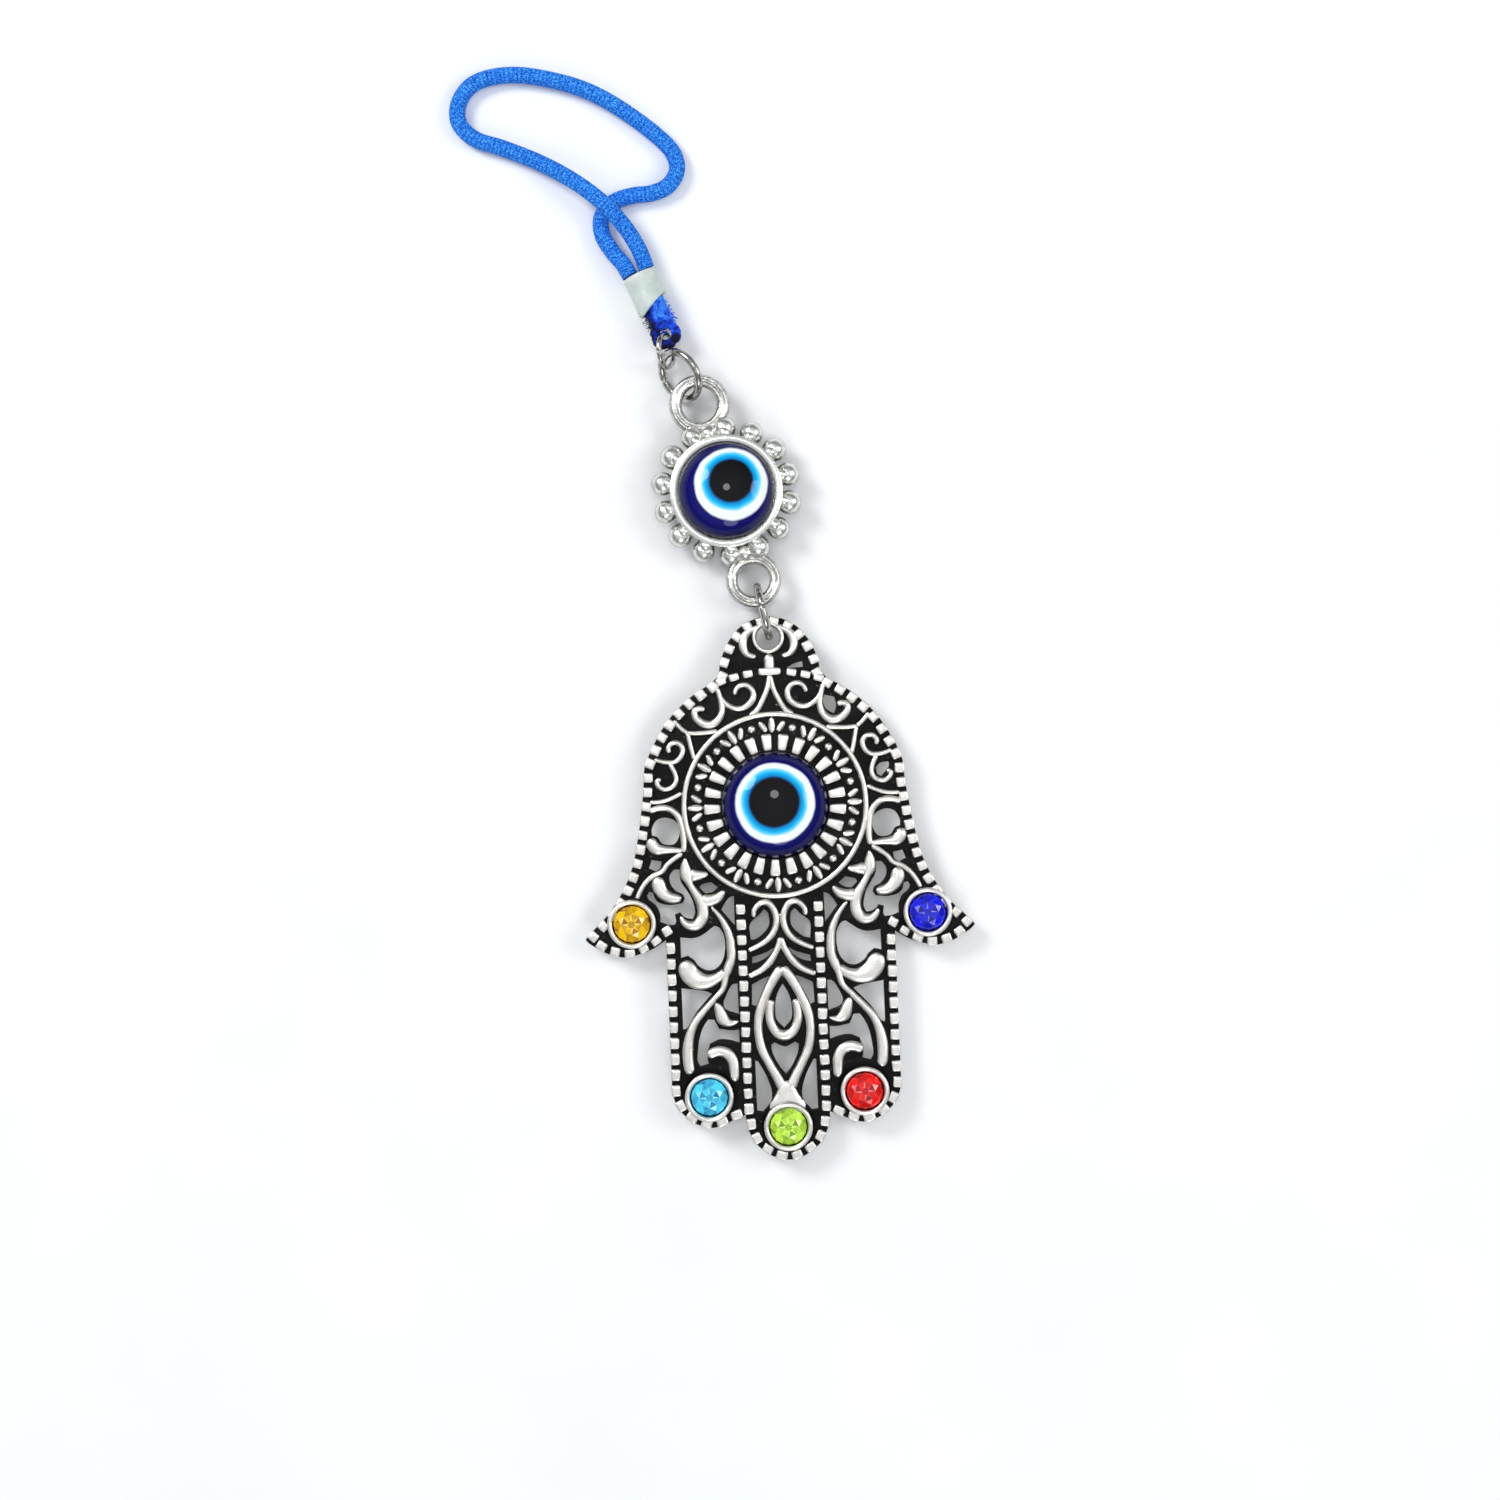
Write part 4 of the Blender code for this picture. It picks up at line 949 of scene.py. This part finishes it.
# ---------------------------------------------------------------- links, sleeve and cord
def split_ring(centre, along, sideways, radius, wire, split_at):
    """A ring of bent wire, cut square where its ends meet."""
    bm = bmesh.new()
    line = arc(centre, along, sideways, radius, split_at + 2, split_at + 358, 120)

    def eased(distance, turn):
        """The wire's radius, a little less at the two cut ends."""
        length = math.radians(356) * radius
        from_end = min(distance, length - distance)
        return wire * (0.9 if from_end < 0.04 else 1)

    tube(bm, line, eased, 20)
    return bm


def crimped_sleeve():
    """The soft tube: pinched in its middle, cut square at the head and aslant at the foot."""
    axis = (SLEEVE_HEAD - SLEEVE_FOOT).normalized()
    sideways = Vector((axis.y, -axis.x, 0))
    length = (SLEEVE_HEAD - SLEEVE_FOOT).length
    sides = 64

    def ring(share, radius):
        points = []
        for turn in circle_turns(sides):
            slant = 1.7 * (1 + math.cos(turn)) / 2 * (1 - share)
            pinch = 1 - 0.1 * math.exp(-((share - 0.55) / 0.2) ** 2) * abs(math.sin(turn)) ** 2
            ripple = 0.03 * math.sin(3 * turn + 5 * share)
            reach = (radius + ripple) * pinch
            points.append(SLEEVE_FOOT + axis * (slant + share * length)
                          + sideways * math.cos(turn) * reach + UP * math.sin(turn) * reach)
        return points

    shares = [step / 16 for step in range(17)]
    outside = [ring(share, SLEEVE_RADIUS - 0.12 * (share in (0, 1))) for share in shares]
    inside = [ring(share, SLEEVE_BORE) for share in reversed(shares)]
    bm = bmesh.new()
    skin(bm, outside + inside, closed=True)
    return bm


def remeshed(bm, voxel):
    """The shape's shells fused into one skin, in plan millimetres."""
    mesh = bpy.data.meshes.new("fused")
    bm.to_mesh(mesh)
    bm.free()
    item = add_object("fused", mesh)
    fuse = item.modifiers.new("fuse", "REMESH")
    fuse.mode = "VOXEL"
    fuse.voxel_size = voxel
    return final_shape(item)


def frayed_end():
    """The cord's bound stub below the sleeve, a loop at its end and loose fibres all over."""
    ring_top = plan("end_ring") + Vector((0, END_RING_RADIUS, 0))
    bm = bmesh.new()
    stub = smooth(CORD_END_ROUTE, 0.2)
    tube(bm, stub, lambda distance, turn: STUB_RADIUS + 0.1 * math.sin(2.2 * distance), 28)
    loop_middle = Vector((ring_top.x, ring_top.y, ring_top.z - 0.1))
    loop = arc(loop_middle, Vector((1, 0, 0)), Vector((0, 1, 0)), STUB_LOOP_RADIUS, 0, 345, 46)
    tube(bm, loop, STUB_LOOP_THICKNESS, 16, closed=True)
    bm = remeshed(bm, 0.09)
    for vert in bm.verts:
        lumps = noise.noise(vert.co * 1.1) * 0.2 + noise.noise(vert.co * 3.7) * 0.12
        # the loop's hole stays open for the end ring
        outside = (vert.co - loop_middle).xy.length > STUB_LOOP_RADIUS
        vert.co += vert.normal * lumps * (1 if outside else 0.1)
    chance = random.Random(23)
    walked = distances(stub)[-1]
    for _ in range(FIBRES):
        distance = chance.uniform(0.15, 1) * walked
        centre, along = point_at(stub, distance)
        side = along.orthogonal().normalized()
        turn = chance.uniform(0, 2 * math.pi)
        outward = side * math.cos(turn) + along.cross(side) * math.sin(turn)
        start = centre + outward * FIBRE_ROOT
        way = (along * chance.uniform(-0.6, 1.1) + outward * chance.uniform(0.1, 0.5)
               + along.cross(outward) * chance.uniform(-0.6, 0.6)).normalized()
        long = chance.uniform(0.4, 1.15)
        bend = outward * chance.uniform(-0.25, 0.1)
        fibre = [start, start + way * long * 0.5 + bend * 0.1, start + way * long + bend]
        if min(point.z for point in fibre) > 0.3:
            tube(bm, smooth(fibre, 0.25), FIBRE_RADIUS, 4)
    return bm


def braided_cord():
    """The cord's braided skin, and the line that it follows."""
    line = smooth(CORD_ROUTE, 0.12)
    strands, pitch, depth, sides = 22, 0.5, 0.04, 44

    def relief(distance, turn):
        one = strands * turn / 2 + math.pi * distance / pitch
        other = strands * turn / 2 - math.pi * distance / pitch
        return 0.5 + 0.5 * math.cos(one) * math.cos(other)

    def radius(distance, turn):
        return CORD_RADIUS - depth + depth * relief(distance, turn)

    bm = bmesh.new()
    tube(bm, line, radius, sides)
    # each point's relief, kept for the braid's painted shade and painted light
    layer = bm.verts.layers.float.new("painted_braid_shade")
    bm.verts.ensure_lookup_table()
    for index, distance in enumerate(distances(line)):
        for side, turn in enumerate(circle_turns(sides)):
            bm.verts[index * sides + side][layer] = relief(distance, turn)
    return bm, line


# ---------------------------------------------------------------- camera, light and floor
CAMERA_HEIGHT, CAMERA_WIDTH = 0.33, 0.1734  # metres; the width is what the picture takes in at the floor
CAMERA_AIM, CAMERA_TURN = (-2.6, 6.4), math.radians(-2.4)
FLOOR_REACH, FLOOR_DROP = 1.5, 0.0001
LAMPS = [  # name, place, size and power
    ("key", (-0.3, 0.26, 0.38), 0.2, 1.3),
    ("fill", (0.42, 0.05, 0.36), 0.26, 0.8),
    ("front", (0.05, -0.42, 0.34), 0.22, 0.5),
    ("glint", (0.0, 0.075, 0.42), 0.07, 0.12),
]
ROOM_GLOW = [  # from the horizon to straight above
    (0.0, (0.75, 0.76, 0.78, 1)),
    (0.14, (0.62, 0.62, 0.62, 1)),
    (0.24, (0.03, 0.03, 0.03, 1)),
    (1.0, (0.84, 0.86, 0.9, 1)),
]


def studio():
    """The camera straight above, a pale floor, a pale room and soft lamps above and to the sides.

    The room has a dark band above its horizon, which gives the metal's slopes something to reflect.
    """
    scene = bpy.context.scene
    camera = bpy.data.cameras.new("camera")
    camera.lens = camera.sensor_width * CAMERA_HEIGHT / CAMERA_WIDTH
    view = add_object("camera", camera)
    view.location = place((*CAMERA_AIM, CAMERA_HEIGHT / MM))
    view.rotation_euler = (0, 0, CAMERA_TURN)
    scene.camera = view

    mesh = bpy.data.meshes.new("floor")
    corners = [(FLOOR_REACH * x, FLOOR_REACH * y, 0) for x, y in ((-1, -1), (1, -1), (1, 1), (-1, 1))]
    mesh.from_pydata(corners, [], [(0, 1, 2, 3)])
    mesh.materials.append(floor_material())
    floor = add_object("floor", mesh)
    floor.location.z = -FLOOR_DROP

    world = bpy.data.worlds.new("pale_room")
    world.use_nodes = True
    sky = world.node_tree
    facing = sky.nodes.new("ShaderNodeTexCoord")
    split = sky.nodes.new("ShaderNodeSeparateXYZ")
    dome = sky.nodes.new("ShaderNodeValToRGB")
    sky.links.new(facing.outputs["Generated"], split.inputs[0])
    sky.links.new(split.outputs["Z"], dome.inputs["Fac"])
    sky.links.new(dome.outputs["Color"], sky.nodes["Background"].inputs["Color"])
    set_stops(dome, ROOM_GLOW)
    scene.world = world
    scene.view_settings.view_transform = "Standard"
    for name, spot, size, power in LAMPS:
        light = bpy.data.lights.new(name, "AREA")
        light.shape = "DISK"
        light.size = size
        light.energy = power
        lamp = add_object(name, light)
        lamp.location = spot
        lamp.rotation_euler = (-Vector(spot)).to_track_quat("-Z", "Y").to_euler()


# ---------------------------------------------------------------- assembly
# Each stone's colour in painted shade and in painted light, spread over its facets.
STONE_COLOURS = {
    "amber": (rgb(118, 54, 0), rgb(255, 205, 0)),
    "sapphire": (rgb(2, 2, 84), rgb(16, 28, 235)),
    "aqua": (rgb(6, 92, 150), rgb(84, 222, 255)),
    "peridot": (rgb(84, 128, 10), rgb(206, 250, 84)),
    "red": (rgb(112, 0, 2), rgb(255, 24, 22)),
}


def build_cord():
    bm, line = braided_cord()
    # from painted shade in the troughs through the yarn's blue to flecks and painted light on the crests
    blue = braid("braided_cord", rgb(6, 52, 150), rgb(18, 112, 224), rgb(96, 186, 255), 0.2)
    cord = make_piece("braided_cord", bm, "cord_loop", blue, ["cord"])


def build_hamsa():
    plate = antique_silver("blackened_floor", 3.3, 3.8, back=True)
    relief = antique_silver("rubbed_silver", 2.62, 2.86)
    cups = antique_silver("cup_silver", 3.3, 3.75, back=True)
    make_piece("pierced_plate", pierced_plate(), "hamsa", plate, ["hamsa_plate"])
    make_piece("filigree", filigree(), "hamsa", relief, sharp=60)
    make_piece("border_ticks", borders(), "hamsa", relief, sharp=60)
    make_piece("medallion", medallion(), "hamsa", relief, sharp=60)
    for stone in STONES:
        node = "rhinestone_" + stone
        centre = plan(node)
        make_piece("bezel_" + stone, bezel(centre), "hamsa", cups)
        glass = stone_material(stone + "_stone", *STONE_COLOURS[stone])
        make_piece("stone_" + stone, brilliant(centre), "hamsa", glass, [node], sharp=2)
    rings = glass_eye_rings("hamsa_eye_glass", "hamsa_eye", EYE_PUPIL_SHIFT, EYE_WHITE_SHIFT, EYE_RINGS)
    make_piece("hamsa_glass_eye", cabochon((0, 0), EYE_RADIUS, EYE_FOOT, EYE_EDGE, EYE_CROWN), "hamsa",
               rings, ["hamsa_eye"])


def build_connector():
    # painted crevice shade among the beads, darkest about 2.0 high and gone by 3.5
    silver = bright_silver("cast_setting", 0.045, 2.0, 3.5)
    make_piece("eye_setting", connector(), "connector", silver, ["connector_frame"],
               sharp=50)
    rings = glass_eye_rings("connector_eye_glass", "connector_eye", SMALL_PUPIL_SHIFT, SMALL_WHITE_SHIFT,
                            SMALL_EYE_RINGS)
    dome = cabochon(CONNECTOR, SMALL_EYE_RADIUS, SMALL_EYE_FOOT, SMALL_EYE_EDGE, SMALL_EYE_CROWN)
    make_piece("connector_glass_eye", dome, "connector", rings, ["connector_eye"])


def build_links():
    steel = polished_wire("ring_wire")
    lower = split_ring(plan("lower_jump_ring"), LOWER_RING_ALONG, UP, LOWER_RING_RADIUS, RING_WIRE, 80)
    make_piece("lower_link", lower, "lower_ring", steel, ["lower_jump_ring"])
    level = Vector((UPPER_RING_ALONG.y, -UPPER_RING_ALONG.x, 0))
    tilted = level * math.cos(UPPER_RING_TILT) + UP * math.sin(UPPER_RING_TILT)
    upper = split_ring(plan("upper_jump_ring"), UPPER_RING_ALONG, tilted, UPPER_RING_RADIUS, RING_WIRE, 285)
    make_piece("upper_link", upper, "upper_ring", steel, ["upper_jump_ring"])
    lean = Vector((-math.sin(END_RING_LEAN), 0, math.cos(END_RING_LEAN)))
    end = split_ring(plan("end_ring"), Vector((0, 1, 0)), lean, END_RING_RADIUS, END_RING_WIRE, 100)
    make_piece("end_link_ring", end, "end_link", steel, ["end_ring"])


def build_cord_end():
    make_piece("frayed_end", frayed_end(), "cord_loop", bound_end("frayed_blue"),
               ["cord_end"], sharp=70)
    make_piece("milky_sleeve", crimped_sleeve(), "cord_loop", milky_plastic("milky_sleeve"),
               ["crimp_sleeve"])


studio()
build_cord()
build_hamsa()
build_connector()
build_links()
build_cord_end()
